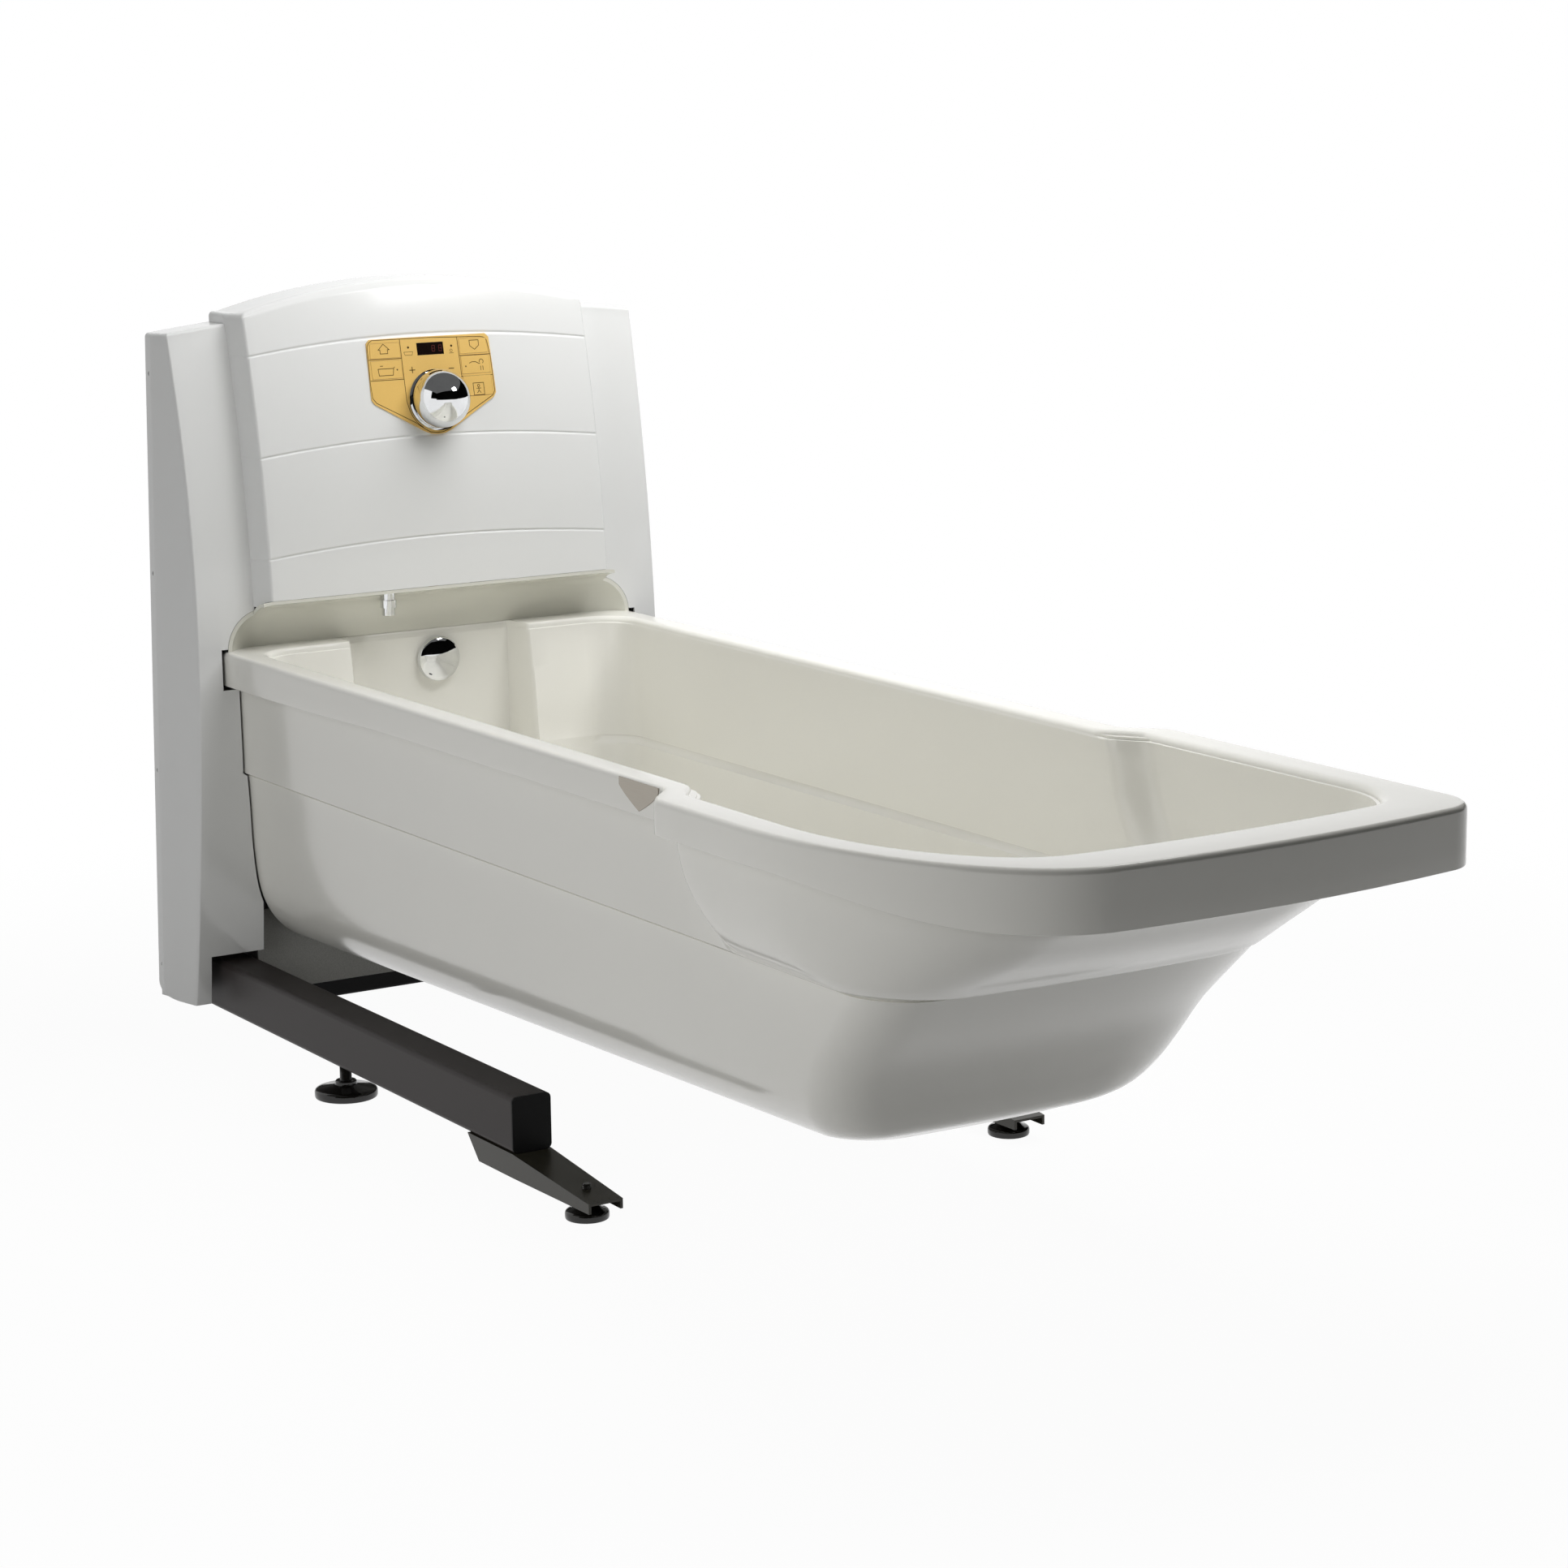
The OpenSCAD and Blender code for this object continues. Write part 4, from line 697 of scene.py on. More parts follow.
# A groove's section from its middle outwards: distance, share of the depth
GROOVE = ((0, 1.0), (0.7, 0.92), (1.4, 0.6), (2.0, 0.12), (2.4, 0.0))
GROOVE_SPACE, PANEL_EDGE = 4.0, 7.0
# Room cut beside the legs, outwards, inwards and above, and round the tub and its arms
LEG_OUT, LEG_IN, LEG_ABOVE, TUB_ROOM, ARM_ROOM = 20.0, 10.0, 12.0, 4.0, 3.0
COVE_R, COVE_HALF = 72.0, 291.0
CAP_DOME, THREAD_PITCH, THREAD_DEPTH = 6.2, 1.5, 0.6


def front_x(z, out=0.0):
    """The housing's bulging front at height z, moved forward by out."""
    r = FRONT_R if z > BELLY_Z else FRONT_LOW_R
    return BELLY_X - r + sqrt((r + out) ** 2 - (z - BELLY_Z) ** 2)


def back_half(z):
    """Half width of the housing's back at height z."""
    return HALF_TOP + (SIDE_TOP - z) * (HALF_LOW - HALF_TOP) / (SIDE_TOP - HOUSING_LOW)


def side_arch(y):
    """Height of the side covers' arched top at the distance y from the middle."""
    r = (HALF_TOP ** 2 - PANEL_HALF ** 2) / (2 * ARCH_RISE)
    return SIDE_TOP + sqrt(max(0, r * r - y * y)) - sqrt(r * r - HALF_TOP ** 2)


def panel_arch(y):
    """Height of the raised panel's arched top at the distance y from the middle."""
    h = PANEL_TOP - PANEL_CORNER
    r = (PANEL_FACE ** 2 + h * h) / (2 * h)
    return PANEL_TOP - r + sqrt(r * r - y * y)


def cover_plan(z, d):
    """Plan of a side cover at height z, moved inward by d: side face, rounded corner, front face."""
    w, xf = back_half(z) - d, front_x(z) - d
    r = max(FRONT_CORNER - d, 0.5)

    def side_y(x):
        return w - max(0, x - BAND) * TAPER * xf / (xf - BAND)
    pts = [(x, side_y(x)) for x in (0, BAND * 0.5, BAND - 1, BAND + 1)]
    pts += [(BAND + (xf - r - BAND) * t, side_y(BAND + (xf - r - BAND) * t)) for t in (0.3, 0.6, 0.9)]
    yc = side_y(xf)
    for c, q in quarter(8):
        x = xf - r + r * q
        pts.append((x, min(side_y(x), yc + 0.4 - r + r * c) if q else side_y(x)))
    inner = PANEL_HALF - 1.5
    pts += [(xf, yc - r + (inner - yc + r) * t) for t in (0.1, 0.25, 0.4, 0.55, 0.7, 0.85, 1)]
    return pts


def side_cover_sheet(name, side, edge):
    """Skin of one side cover: up the front and side, over the rounded top and back."""
    rows = []
    for t in steps(90):
        rows.append([(x, y, HOUSING_LOW + (side_arch(y) - edge - HOUSING_LOW) * t)
                     for x, y in cover_plan(HOUSING_LOW + (SIDE_TOP - HOUSING_LOW) * t, 0)])
    for c, q in quarter(7)[1:]:
        rows.append([(x, y, side_arch(y) - edge * (1 - q)) for x, y in cover_plan(SIDE_TOP, edge * (1 - c))])
    rows += [[(x * (1 - t), y, z) for x, y, z in rows[-1]] for t in (0.25, 0.5, 0.75, 1)]
    return grid_sheet(name, len(rows[0]) - 1, len(rows) - 1,
                      lambda i, j: (rows[j][i][0], side * rows[j][i][1], rows[j][i][2]))


def face_front(piece):
    """Turns a sheet's faces so that most of those in front look forwards."""
    total = sum((p.normal * p.area for p in piece.data.polygons), Vector())
    if total.x < 0:
        edit(piece, (bpy.ops.mesh.flip_normals, {}))


def cove_cutter():
    """The long round-ended roll that the cove follows, grown by the cove's wall and a gap."""
    s = sizes()
    deselect_all()
    bpy.ops.mesh.primitive_uv_sphere_add(segments=96, ring_count=48, radius=(COVE_R + TUB_WALL + 0.5) * MM)
    roll = bpy.context.object
    roll.data.transform(Matrix.Rotation(radians(90), 4, "X"))
    for v in roll.data.vertices:
        v.co.y += COVE_HALF * MM * (1 if v.co.y > 0 else -1) if abs(v.co.y) > 1e-6 else 0
        v.co += Vector((BACK + (s["rim_rear"] + 10 + COVE_R) * MM, 0, s["rim_height"] * MM))
    return roll


def tub_profile_cutter(s, gap):
    """A prism of the tub's cross-section beside the housing, grown by a gap."""
    lip = s["narrow_half"] + gap + 2
    zl = lip_edge(s, 200) - gap - 2
    walls = []
    for lv in creased(casing_levels(s), 3)[::-1]:
        z = sloped_level(s, lv)[0][2] - gap * (1 - smooth((lv[0] - CASING_LOW) / 100))
        if z < zl - 1:
            walls.append((-lv[3] - gap, z))
    pts = [(-lip, s["rim_height"] + gap), (-lip, zl), (walls[0][0], zl)] + walls
    pts += [(-y, z) for y, z in pts[::-1]]
    return ring_piece("tub_gap", [[(x, y, z) for y, z in pts] for x in (66.0, 500.0)])


def corner_cutter(side):
    """What lies outside the rounded lower rear corner of a side cover."""
    low, (long, tall) = HOUSING_LOW - 1, LOW_CORNER
    bend = [(long * (1 - c), HOUSING_LOW + tall * (1 - q)) for c, q in quarter(12)]
    pts = [(-1.0, HOUSING_LOW + tall)] + bend + [(long, low), (-1.0, low)]
    return ring_piece("corner_waste", [[(x, side * y, z) for x, z in pts] for y in (390.0, 460.0)])


class BATH_OT_side_covers(bpy.types.Operator):
    """Makes the two side covers of the column housing"""
    bl_idname = "bath.side_covers"
    bl_label = "Side covers"

    def execute(self, context):
        s, looks = sizes(), palette()
        for side, node in ((-1, "side_cover_left"), (1, "side_cover_right")):
            cover = side_cover_sheet(node + "_moulding", side, s["edge_round"])
            face_front(cover)
            add_modifier(cover, "SOLIDIFY", thickness=COVER_WALL * MM, offset=-1, use_even_offset=False)
            cut(cover, tub_profile_cutter(s, TUB_ROOM))
            cut(cover, cove_cutter())
            low, high = box_mm("leg_left" if side < 0 else "leg_right")
            near, far = (LEG_OUT, LEG_IN) if side < 0 else (LEG_IN, LEG_OUT)
            cut(cover, cutter_box((40, low[1] - near, 0), (300, high[1] + far, high[2] + LEG_ABOVE)))
            cut(cover, corner_cutter(side))
            soften(cover, 35)
            dress(cover, looks["cover"], "lift", node)
        return {"FINISHED"}


def panel_rise(z):
    """How much higher a level line of the raised panel is in the middle than at the sides."""
    if z < GROOVES[0]:
        return 16 * smooth((z - PANEL_LOW) / (GROOVES[0] - PANEL_LOW))
    if z < GROOVES[2]:
        return 16 + 4 * (z - GROOVES[0]) / (GROOVES[2] - GROOVES[0])
    return 20 + (PANEL_TOP - PANEL_CORNER - 20) * (z - GROOVES[2]) / (PANEL_CORNER - GROOVES[2])


def panel_plan(z, d):
    """Half plan of the raised panel, moved inward by d: face, rounded edge, bevel, side wall."""
    xf, xp = front_x(z), front_x(z, PANEL_DEPTH) - d
    face, end, r = PANEL_FACE - d, PANEL_HALF - d, 5.0
    pts = [(xp, face * t) for t in (0, 0.12, 0.24, 0.36, 0.48, 0.6, 0.7, 0.8, 0.88, 0.94)]
    bend = pi / 2 - atan2(PANEL_HALF - PANEL_FACE, PANEL_DEPTH)
    pts += [(xp - r + r * cos(a * bend), face - r * 0.75 + r * sin(a * bend)) for a in steps(6)]
    bx, by = pts[-1]
    pts += [(bx + (xf - bx) * t, by + (end - by) * t) for t in (0.3, 0.6, 0.9, 1)]
    back = 3.6 if z < SIDE_TOP - 4 else 0.0
    return pts + [(xf + (back - xf) * t, end) for t in (0.1, 0.5, 1)]


class BATH_OT_raised_panel(bpy.types.Operator):
    """Makes the raised middle panel with its bevelled sides and arched grooves"""
    bl_idname = "bath.raised_panel"
    bl_label = "Raised panel"

    def execute(self, context):
        s, looks = sizes(), palette()
        edge, face = PANEL_EDGE, PANEL_FACE
        marks = [PANEL_LOW, *GROOVES, PANEL_CORNER - edge]
        heights = []
        for k, (a, b) in enumerate(zip(marks, marks[1:])):
            a += GROOVE_SPACE if k else 0
            plain = b - a - (GROOVE_SPACE if k < len(GROOVES) else 0)
            heights += [(a + plain * t, 0.0) for t in steps(14)]
            if k < len(GROOVES):
                heights += [(b - d, f) for d, f in GROOVE[:0:-1]] + [(b + d, f) for d, f in GROOVE]
        rows = []
        for z, f in heights:
            row = []
            for x, y in panel_plan(z, 0):
                zz = z + panel_rise(z) * (1 - min(1, (y / face) ** 2))
                deep = f * s["groove_depth"] if y < PANEL_HALF - 1 else 0
                row.append((x + front_x(zz) - front_x(z) - deep, y, zz))
            rows.append(row)
        for c, q in quarter(7)[1:]:
            row = []
            for x, y in panel_plan(PANEL_CORNER, edge * (1 - c)):
                zz = panel_arch(min(y, face))
                row.append((max(0.0, x + front_x(zz) - front_x(PANEL_CORNER)), y, zz - edge * (1 - q)))
            rows.append(row)
        rows += [[(x * (1 - t), y, z) for x, y, z in rows[-1]] for t in (0.3, 0.65, 1)]
        half = len(rows[0]) - 1
        whole = [[(x, -y, z) for x, y, z in row[:0:-1]] + [(row[0][0], -row[0][1], row[0][2])] + row[1:]
                 for row in rows]
        panel = grid_sheet("raised_panel_moulding", 2 * half, len(rows) - 1, lambda i, j: whole[j][i])
        face_front(panel)
        add_modifier(panel, "SOLIDIFY", thickness=COVER_WALL * MM, offset=-1, use_even_offset=False)
        cut(panel, cove_cutter())
        soften(panel, 35)
        dress(panel, looks["cover"], "lift", "raised_panel")
        return {"FINISHED"}


class BATH_OT_cove(bpy.types.Operator):
    """Makes the concave splash cove between the tub and the panel"""
    bl_idname = "bath.cove"
    bl_label = "Splash cove"

    def execute(self, context):
        refine("splash_cove", palette()["cove"], 0.8, 2, 50, 40)
        return {"FINISHED"}


class BATH_OT_housing_plates(bpy.types.Operator):
    """Makes the back plate, the lower cover and the screws of the housing"""
    bl_idname = "bath.housing_plates"
    bl_label = "Housing plates"

    def execute(self, context):
        # The lower cover wears a darker grey that paints in the shade under the tub.
        refine_all((("rear_cover", "cover", 0.6), ("lower_cover", "plate", 1.0), ("cover_screws", "screw", 0.4)))
        return {"FINISHED"}


def turned(node, profile, spot, look, sides=64):
    """A lathe-turned piece: spot(a, b, h) places the circle (a, b) at the height h of the profile."""
    piece = grid_sheet(node + "_turned", sides, len(profile) - 1, lambda i, j: spot(
        profile[j][0] * cos(i * 2 * pi / sides),
        profile[j][0] * sin(i * 2 * pi / sides), profile[j][1]), closed=True)
    edit(piece, (bpy.ops.mesh.normals_make_consistent, {"inside": False}))
    soften(piece, 38)
    dress(piece, look, BODY_OF[node], node)


def overflow_cap(look):
    """The overflow's cap: a chromed disc with a soft edge and a slightly domed face."""
    node, dome = "overflow_knob", CAP_DOME
    (back, low_y, _), (top, high_y, _) = box_mm(node)
    r, (_, cy, cz) = (high_y - low_y) / 2, middle(node)
    turn = [(0, back), (5, back), (6, back + 1), (6, top - 19), (r - 1, top - 19), (r, top - 18),
            (r, top - 11.5), (r - 0.5, top - 9.6), (r - 1.8, top - 8), (r - 4, top - 7)]
    turn += [((r - 5.5) * t, top - dome * t ** 2) for t in steps(12)[::-1]]
    turned(node, turn, lambda a, b, h: (h, cy + a, cz + b), look)


def levelling_foot(node, stem, thick, look):
    """A turned foot: a thick disc with a rounded rim, a hub and a threaded stem."""
    (_, low_y, _), (_, high_y, top) = box_mm(node)
    r, (cx, cy, _) = (high_y - low_y) / 2, middle(node)
    hub = stem + 7.0
    turn = [(0, 0), (r * 0.5, 0), (r - 2.5, 0), (r - 0.8, 0.9), (r, 2.8), (r, thick - 5)]
    turn += [(a, thick + up) for a, up in (
        (r - 0.7, -2.6), (r - 2.6, -0.8), (r - 5.5, 0), (r - 9, 1.2), (hub + 4, 4.0), (hub + 0.8, 5.5),
        (hub, 7.5), (hub, 10), (hub - 1.2, 11.2), (stem, 11.4))]
    z = thick + 12.0
    while z < top - 3:
        turn += [(stem, z), (stem - THREAD_DEPTH, z + THREAD_PITCH / 2)]
        z += THREAD_PITCH
    turn += [(stem, top - 1), (stem - 1, top), (0, top)]
    turned(node, turn, lambda a, b, h: (cx + a, cy + b, h), look)


class BATH_OT_floor_frame(bpy.types.Operator):
    """Finishes the legs, brackets, feet and the cross member"""
    bl_idname = "bath.floor_frame"
    bl_label = "Floor frame"

    def execute(self, context):
        looks = palette()
        for side in ("left", "right"):
            refine("leg_" + side, looks["legs"], 0.4, 1)
            refine("front_bracket_" + side, looks["bracket"], 1.0, 2, 40)
            for node, stem, thick in (("rear_foot_" + side, 9.0, 14.0), ("front_foot_" + side, 6.0, 13.0)):
                levelling_foot(node, stem, thick, looks["foot"])
        refine("leg_end_caps", looks["black"], 0.5)
        refine("cross_member", looks["black"], 0.4, 1)
        refine("bracket_bolts", looks["zinc"], 0.5, 2, 50)
        return {"FINISHED"}


class BATH_OT_lift(bpy.types.Operator):
    """Finishes the guides, the carriage, the drive and the arms under the tub"""
    bl_idname = "bath.lift"
    bl_label = "Lift"

    def execute(self, context):
        refine_all((
            ("upright_left", "frame", 0.4), ("upright_right", "frame", 0.4), ("upright_caps", "black", 0.5),
            ("actuator_motor", "black", 1.5), ("actuator_tube", "aluminium", 0.6), ("carriage", "frame", 0.5),
            ("glide_bushes", "pale", 0.3), ("actuator_rod", "zinc", 0.5), ("support_arm_left", "frame", 0.8),
            ("support_arm_right", "frame", 0.8), ("cradle_pads", "rubber", 0.8)))
        return {"FINISHED"}


class BATH_OT_plumbing(bpy.types.Operator):
    """Finishes the valve, pipes, waste, overflow, outlet and electrics"""
    bl_idname = "bath.plumbing"
    bl_label = "Plumbing and electrics"

    def execute(self, context):
        refine_all((
            ("thermostat_valve", "brass", 1.0), ("supply_stubs", "brass", 0.5), ("outlet_pipe", "copper", 0.0),
            ("filler_pipe", "copper", 0.0), ("hose_outlet", "chrome", 0.8), ("overflow_body", "grey", 0.8),
            ("overflow_pipe", "grey", 0.0), ("waste_body", "chrome", 0.5), ("waste_plug", "chrome", 0.8),
            ("waste_pipe", "grey", 0.0), ("control_box", "box", 3.0), ("cable_gland", "black", 0.4),
            ("control_board", "board", 0.1), ("shield_plate", "steel", 0.3)), 2, 50)
        overflow_cap(palette()["chrome"])
        return {"FINISHED"}


# The control panel

PLATE_Z, PLATE_Y, PLATE_FACE_X = 1012.0, 12.0, 1.2
INK_X, KEY_INK_X = PLATE_FACE_X + 0.06, PLATE_FACE_X + 0.36
KNOB_Y, KNOB_Z, KNOB_LINE_R = 2.0, -23.0, 49.5
PANEL_R = FRONT_R + PANEL_DEPTH


def on_plate(x, y, z):
    """A point given on the control plate, in millimetres from the column's back."""
    a = asin((PLATE_Z - BELLY_Z) / PANEL_R)
    return (BELLY_X - FRONT_R + (PANEL_R + x) * cos(a) - z * sin(a), PLATE_Y + y,
            BELLY_Z + (PANEL_R + x) * sin(a) + z * cos(a))


def stroke(points, width, lift):
    """A flat printed line through points on the plate."""
    pts = [Vector(p) for p in points]
    shut = (pts[0] - pts[-1]).length < 1e-6
    offs = []
    for k, p in enumerate(pts):
        before = pts[k - 1] if k else (pts[-2] if shut else p)
        after = pts[k + 1] if k < len(pts) - 1 else (pts[1] if shut else p)
        d1 = (p - before).normalized() if (p - before).length > 1e-6 else (after - p).normalized()
        d2 = (after - p).normalized() if (after - p).length > 1e-6 else d1
        n1, n2 = Vector((-d1.y, d1.x)), Vector((-d2.y, d2.x))
        m = (n1 + n2).normalized()
        offs.append(m * (width / 2 / max(0.4, m.dot(n1))))
    return grid_sheet("stroke", 1, len(pts) - 1, lambda i, j: on_plate(
        lift, *(pts[j] + offs[j] * (1 if i else -1))))


def arc(cy, cz, r, a0=0, a1=360, n=16):
    return [(cy + r * cos(a), cz + r * sin(a))
            for a in (radians(a0 + (a1 - a0) * t) for t in steps(n))]


def join(name, parts):
    deselect_all()
    for p in parts:
        p.select_set(True)
    bpy.context.view_layer.objects.active = parts[0]
    bpy.ops.object.join()
    piece = bpy.context.object
    piece.name = piece.data.name = name
    for p in piece.data.polygons:
        if p.normal.x < 0:
            p.flip()
    return piece


# Lines printed on the plate, as points and a width: border, columns with their arcs round the knob, cells,
# plus and minus, lamps and small marks beside the display
PRINT = (
    ([(-106, 66), (-103, 72), (-97, 75.6), (0, 75.2), (92, 72.2), (98, 71), (103, 66), (106.5, 40), (107, -14),
      (103, -21), (38, -56), (20, -69), (8, -73), (-3, -73.6), (-14, -72), (-23, -67), (-38, -56), (-101, -22),
      (-107, -14), (-108, 10), (-106, 66)], 1.0),
    ([(-49, 75.4), (-49, -22)] + arc(KNOB_Y, KNOB_Z, KNOB_LINE_R, 194, 236, 10), 1.0),
    ([(51, 73.6), (52, 12)] + arc(KNOB_Y, KNOB_Z, KNOB_LINE_R, 26, 10, 4), 1.0),
    ([(-107, 45.3), (-49, 45.3)], 1.0), ([(-107, 12.7), (-49, 12.7)], 1.0),
    ([(52, 44), (107, 44)], 1.0), ([(52, 11), (107, 11)], 1.0),
    ([(-38, 26), (-28, 26)], 1.3), ([(-33, 21), (-33, 31)], 1.3), ([(30.5, 25), (40, 25)], 1.3),
    (arc(-35.7, 61.5, 0.9, n=8), 1.8), (arc(39.8, 60.3, 0.9, n=8), 1.8),
    ([(-44, 54.5), (-42.5, 49.5), (-30, 49.5), (-28.6, 54.5), (-44, 54.5)], 0.6),
    ([(34.7, 49), (42.4, 49)], 0.7), (arc(38.5, 53, 2.2, n=10), 0.6))
# The drawings on the keys
SYMBOLS = {
    "raise": [[(-85, 54), (-85, 60), (-88, 60), (-78.5, 69), (-69, 60), (-72, 60), (-72, 54), (-85, 54)]],
    "lower": [[(72, 67), (88, 67), (88, 58.5), (80, 52.4), (72, 58.5), (72, 67)]],
    "fill": [[(-92, 30.5), (-91, 20), (-67, 20), (-65, 30.5), (-92, 30.5)],
             arc(-59, 28, 0.8, n=8), [(-88, 35), (-83, 35)], [(-65, 30.5), (-63, 33)]],
    "shower": [arc(61, 26.5, 0.8, n=8), [(67.5, 31), (72, 33), (79, 33), (84, 30), (86.6, 30)],
               arc(89, 33, 3.5, -60, 200), [(87, 26), (87, 19)], [(91, 26), (91, 19)]],
    "timer": [[(70, -19.5), (88.5, -19.5), (88.5, -0.5), (70, -0.5), (70, -19.5)],
              arc(79.2, -5, 2.0, n=10), [(79.2, -7), (79.2, -12), (76, -16.5)],
              [(79.2, -12), (82.5, -16.5)], [(75, -9), (83.5, -9)]],
}
# Round a display digit and back through its middle
EIGHT = ((-3, 5), (3, 5), (3, 0), (3, -5), (-3, -5), (-3, 0), (3, 0))


class BATH_OT_control_panel(bpy.types.Operator):
    """Makes the amber control panel with its keys, marks, display and chrome knob"""
    bl_idname = "bath.control_panel"
    bl_label = "Control panel"

    def execute(self, context):
        looks = palette()
        refine("control_plate", looks["film"], 0.35, 2, 50)
        for key in SYMBOLS:
            refine("key_" + key, looks["film"], 0.2, 2, 50)
        refine("display_window", looks["display"], 0.3, 2, 60)
        refine("knob_collar", looks["chrome"], 1.2, 4, 50)
        refine("thermostat_knob", looks["chrome"], 1.5, 4, 50)
        marks = join("panel_print", [stroke(points, width, INK_X) for points, width in PRINT])
        dress(marks, looks["ink"], "lift", slot="display_black")
        for key, drawn in SYMBOLS.items():
            piece = join("mark_" + key, [stroke(points, 1.0, KEY_INK_X) for points in drawn])
            dress(piece, looks["ink"], "button_" + key, slot="display_black")
        segments = list(zip(EIGHT, EIGHT[1:])) + [(EIGHT[5], EIGHT[0])]
        digits = [stroke([(cy + y * 0.8 + 3, 58 + z * 0.9) for y, z in segment], 0.9, PLATE_FACE_X - 0.2)
                  for cy in (5, 17) for segment in segments]
        dress(join("display_segments", digits), looks["digit"], "lift", slot="display_black")
        return {"FINISHED"}


# Stage

# The photo's camera: place, then turn, dip and roll in degrees, and lens
EYE, EYE_ANGLES, LENS = (4.4246, -2.7540, 1.5593), (57.61, 11.18, -0.70), 88.23
AMBIENT = (0.05, 0.05, 0.048)
# Place, aim, width, height, power, and whether metal and gloss show the lamp
LAMPS = (
    ("overhead softbox", (-0.25, 0.5, 2.3), (-0.2, 0, 0.4), 1.4, 1.4, 34.0, False),
    ("panel softbox", (0.3, 0.9, 2.0), (-0.9, 0, 0.7), 0.5, 0.4, 4.5, True),
    ("near softbox", (0.7, -3.0, 1.0), (0.5, 0, 0.5), 1.6, 1.4, 13.0, False),
    ("side softbox", (0.2, -3.2, 1.9), (0.1, 0, 0.6), 1.8, 1.8, 12.5, False))
# Cloths that only metal and gloss see: middle, the two edge vectors, glow. A glow is painted light: the top cloth
# glows grey in reflections, standing in for light that no lamp gives it.
CLOTHS = (
    ((6.0, 0, 3.25), (0, 14, 0), (0, 0, 4.5), 0.0), ((1.0, 0, 5.5), (10, 0, 0), (0, 14, 0), 0.12),
    ((1.0, 7.0, 3.25), (10, 0, 0), (0, 0, 4.5), 0.0), ((4.0, -7.0, 3.6), (4, 0, 0), (0, 0, 3.8), 0.0))


def seen_directly(n, link):
    """Light Path nodes that give 1 to the camera and to what it sees in metal or glass."""
    path = n.new("ShaderNodeLightPath")
    last = path.outputs["Is Camera Ray"]
    for ray in ("Is Glossy Ray", "Is Transmission Ray"):
        both = new_node(n, "Math", operation="MAXIMUM")
        link(last, both.inputs[0])
        link(path.outputs[ray], both.inputs[1])
        last = both.outputs[0]
    return last


def pale_floor(colour):
    """A plain floor that shows white, apart from the bath's soft shadow on it."""
    mat = bpy.data.materials.new("pale floor")
    mat.use_nodes = True
    n, link = mat.node_tree.nodes, mat.node_tree.links.new
    skin = n["Principled BSDF"]
    skin.inputs["Base Color"].default_value = (*colour, 1)
    skin.inputs["Roughness"].default_value = 0.7
    skin.inputs["Specular IOR Level"].default_value = 0.1
    white, mix, place = new_node(n, "Emission"), new_node(n, "MixShader"), new_node(n, "TexCoord")
    span, keep = new_node(n, "VectorMath", operation="LENGTH"), new_node(n, "Math", operation="MULTIPLY")
    reach = new_node(n, "MapRange", interpolation_type="SMOOTHSTEP", From_Min=1.2, From_Max=2.6, To_Min=0.96)
    link(place.outputs["Object"], span.inputs[0])
    link(span.outputs["Value"], reach.inputs["Value"])
    link(seen_directly(n, link), keep.inputs[0])
    link(reach.outputs["Result"], keep.inputs[1])
    link(keep.outputs[0], mix.inputs["Fac"])
    link(skin.outputs["BSDF"], mix.inputs[1])
    link(white.outputs["Emission"], mix.inputs[2])
    link(mix.outputs["Shader"], n["Material Output"].inputs["Surface"])
    return mat


def white_room():
    """A white surrounding for the eye and the reflections, and a plain dim light for the rest."""
    world = bpy.data.worlds.new("white room")
    world.use_nodes = True
    n, link = world.node_tree.nodes, world.node_tree.links.new
    n.clear()
    plain, bright = (new_node(n, "Background", Color=(*c, 1)) for c in (AMBIENT, (1, 1, 1)))
    mix = new_node(n, "MixShader")
    link(seen_directly(n, link), mix.inputs["Fac"])
    link(plain.outputs["Background"], mix.inputs[1])
    link(bright.outputs["Background"], mix.inputs[2])
    link(mix.outputs["Shader"], n.new("ShaderNodeOutputWorld").inputs["Surface"])
    return world


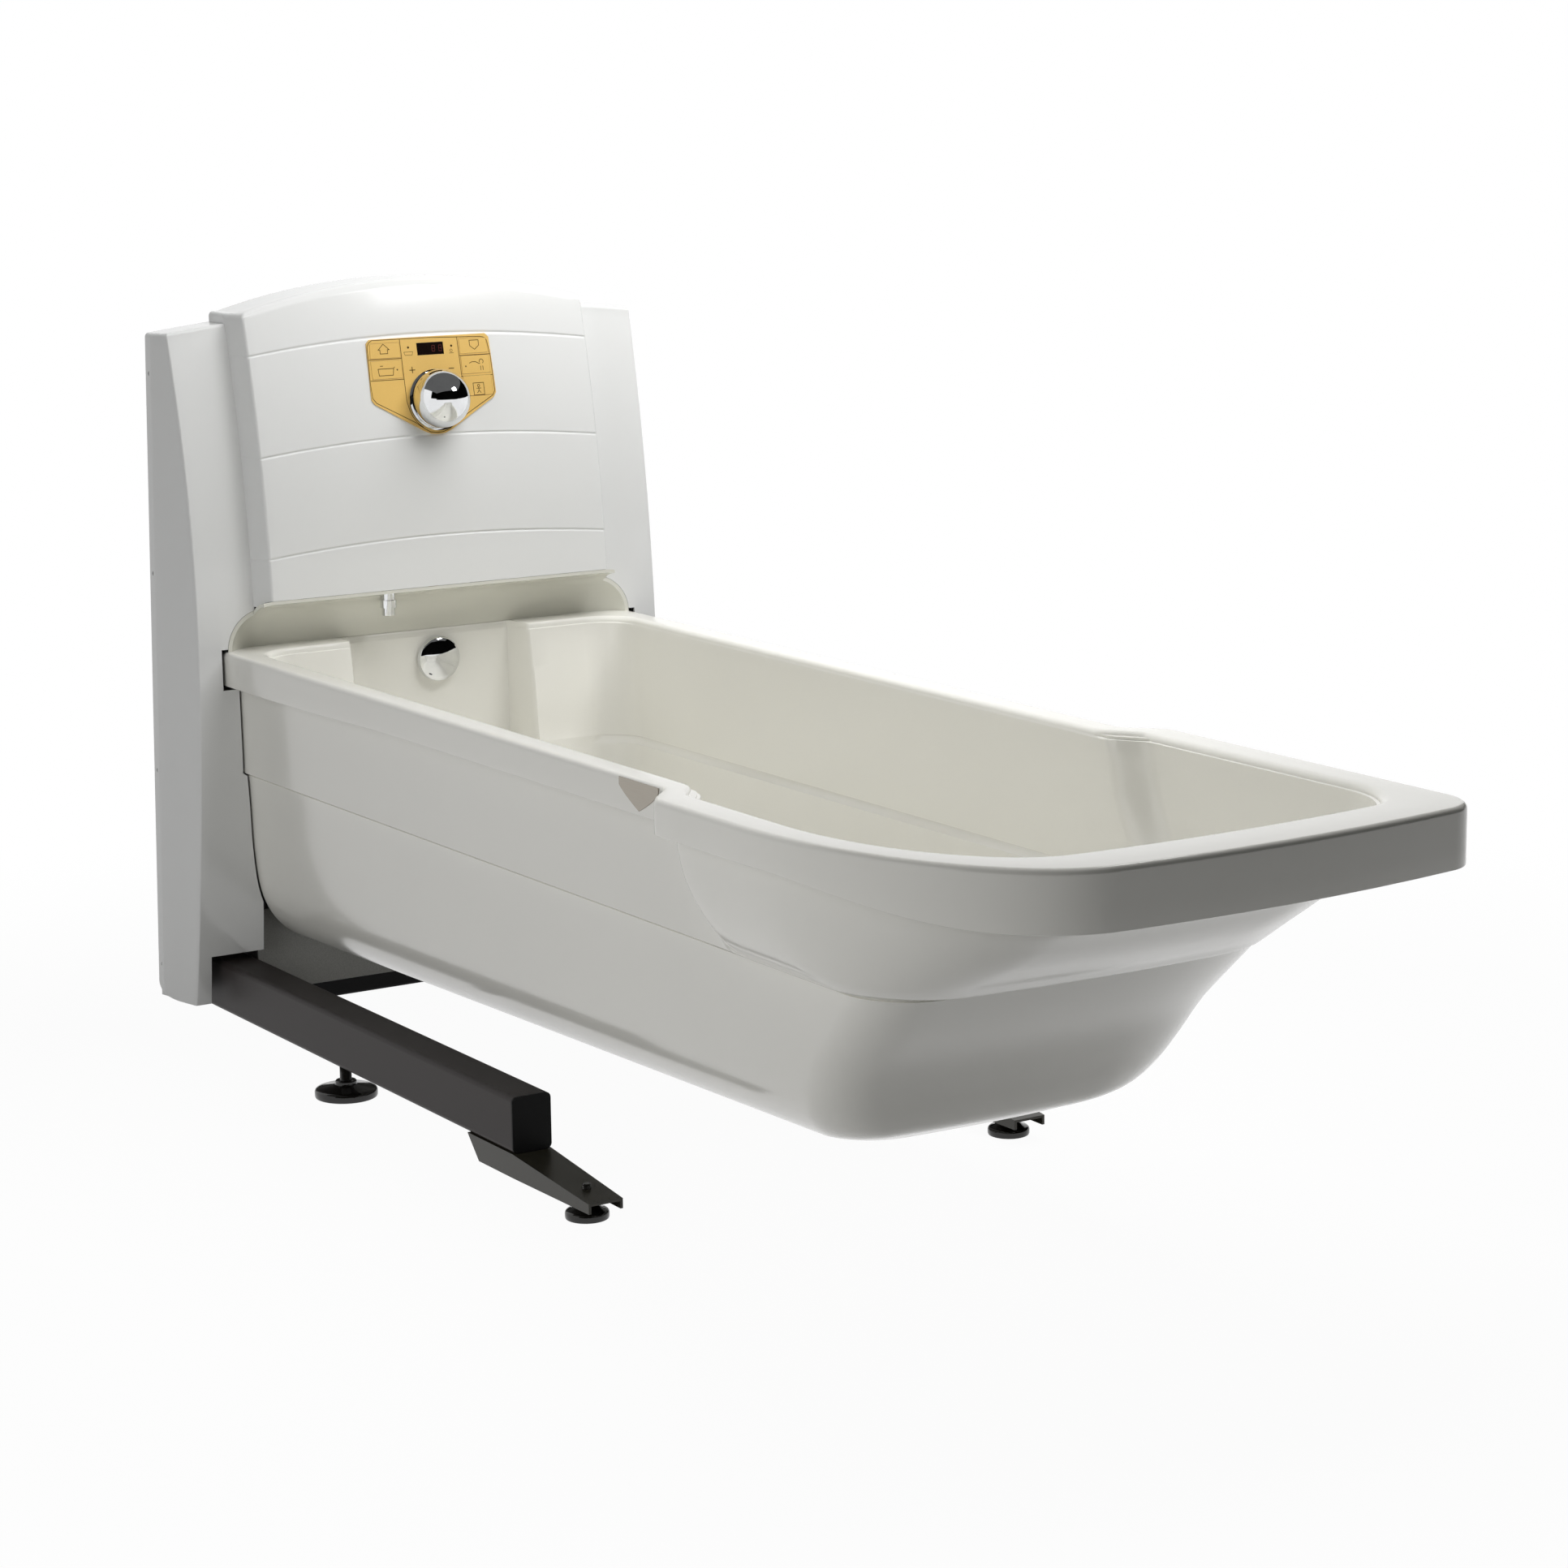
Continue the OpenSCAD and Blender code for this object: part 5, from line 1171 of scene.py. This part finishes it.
class BATH_OT_stage(bpy.types.Operator):
    """Sets the floor, the backdrop's light, the lamps and the camera"""
    bl_idname = "bath.stage"
    bl_label = "Stage"

    def execute(self, context):
        scene = context.scene
        scene.view_settings.view_transform = "Standard"
        deselect_all()
        bpy.ops.mesh.primitive_plane_add(size=60)
        floor = context.object
        floor.name = "floor"
        floor.data.materials.append(pale_floor(scene.bath_colours.floor))
        scene.world = white_room()
        for spot, across, along, glow in CLOTHS:
            deselect_all()
            bpy.ops.mesh.primitive_plane_add(size=1)
            card = context.object
            card.name = "dark card"
            for v in card.data.vertices:
                v.co = Vector(spot) + v.co.x * Vector(across) + v.co.y * Vector(along)
            card.visible_camera = card.visible_diffuse = card.visible_shadow = card.visible_transmission = False
            # A cloth with a glow shows grey by painted light; the others stay dark.
            card.data.materials.append(coat(
                "painted glow cloth" if glow else "dark cloth", (0.02, 0.02, 0.02), 0.9, 1.0, shine=0.0,
                Emission_Color=(1, 1, 1, 1), Emission_Strength=glow))
        for name, spot, aim, width, height, power, shown in LAMPS:
            lamp = bpy.data.lights.new(name, "AREA")
            lamp.shape, lamp.size, lamp.size_y, lamp.energy = "RECTANGLE", width, height, power
            obj = bpy.data.objects.new(name, lamp)
            scene.collection.objects.link(obj)
            obj.visible_glossy = shown
            obj.location = spot
            obj.rotation_euler = (Vector(aim) - Vector(spot)).to_track_quat("-Z", "Y").to_euler()
        turn, dip, roll = (radians(a) for a in EYE_ANGLES)
        ahead = Vector((-sin(turn) * cos(dip), cos(turn) * cos(dip), -sin(dip)))
        right = Vector((cos(turn), sin(turn), 0))
        up = right.cross(ahead)
        rolled = right * cos(roll) + up * sin(roll)
        above = up * cos(roll) - right * sin(roll)
        cam = bpy.data.cameras.new("photo camera")
        cam.lens, cam.sensor_width, cam.sensor_height, cam.sensor_fit = LENS, 36, 36, "HORIZONTAL"
        eye = bpy.data.objects.new("photo camera", cam)
        scene.collection.objects.link(eye)
        eye.matrix_world = Matrix.Translation(EYE) @ Matrix((rolled, above, -ahead)).transposed().to_4x4()
        scene.camera = eye
        return {"FINISHED"}


OPERATORS = (BATH_OT_tub, BATH_OT_casing, BATH_OT_side_covers, BATH_OT_raised_panel, BATH_OT_cove,
             BATH_OT_housing_plates, BATH_OT_floor_frame, BATH_OT_lift, BATH_OT_plumbing,
             BATH_OT_control_panel, BATH_OT_stage)


class BATH_PT_panel(bpy.types.Panel):
    """Lists the bath's pieces in the sidebar"""
    bl_label = "Assisted Bath"
    bl_idname = "BATH_PT_panel"
    bl_space_type = "VIEW_3D"
    bl_region_type = "UI"
    bl_category = "Bath"

    def draw(self, context):
        for op in OPERATORS:
            self.layout.operator(op.bl_idname)
        for group in (context.scene.bath_sizes, context.scene.bath_colours):
            for name in group.__annotations__:
                self.layout.prop(group, name)


CLASSES = (BathSizes, BathColours) + OPERATORS + (BATH_PT_panel,)


def register():
    for c in CLASSES:
        bpy.utils.register_class(c)
    bpy.types.Scene.bath_sizes = bpy.props.PointerProperty(type=BathSizes)
    bpy.types.Scene.bath_colours = bpy.props.PointerProperty(type=BathColours)


def unregister():
    del bpy.types.Scene.bath_sizes
    del bpy.types.Scene.bath_colours
    for c in reversed(CLASSES):
        bpy.utils.unregister_class(c)


def main():
    register()
    bpy.ops.bath.tub()
    bpy.ops.bath.casing()
    bpy.ops.bath.side_covers()
    bpy.ops.bath.raised_panel()
    bpy.ops.bath.cove()
    bpy.ops.bath.housing_plates()
    bpy.ops.bath.floor_frame()
    bpy.ops.bath.lift()
    bpy.ops.bath.plumbing()
    bpy.ops.bath.control_panel()
    bpy.ops.bath.stage()


if __name__ == "__main__":
    main()
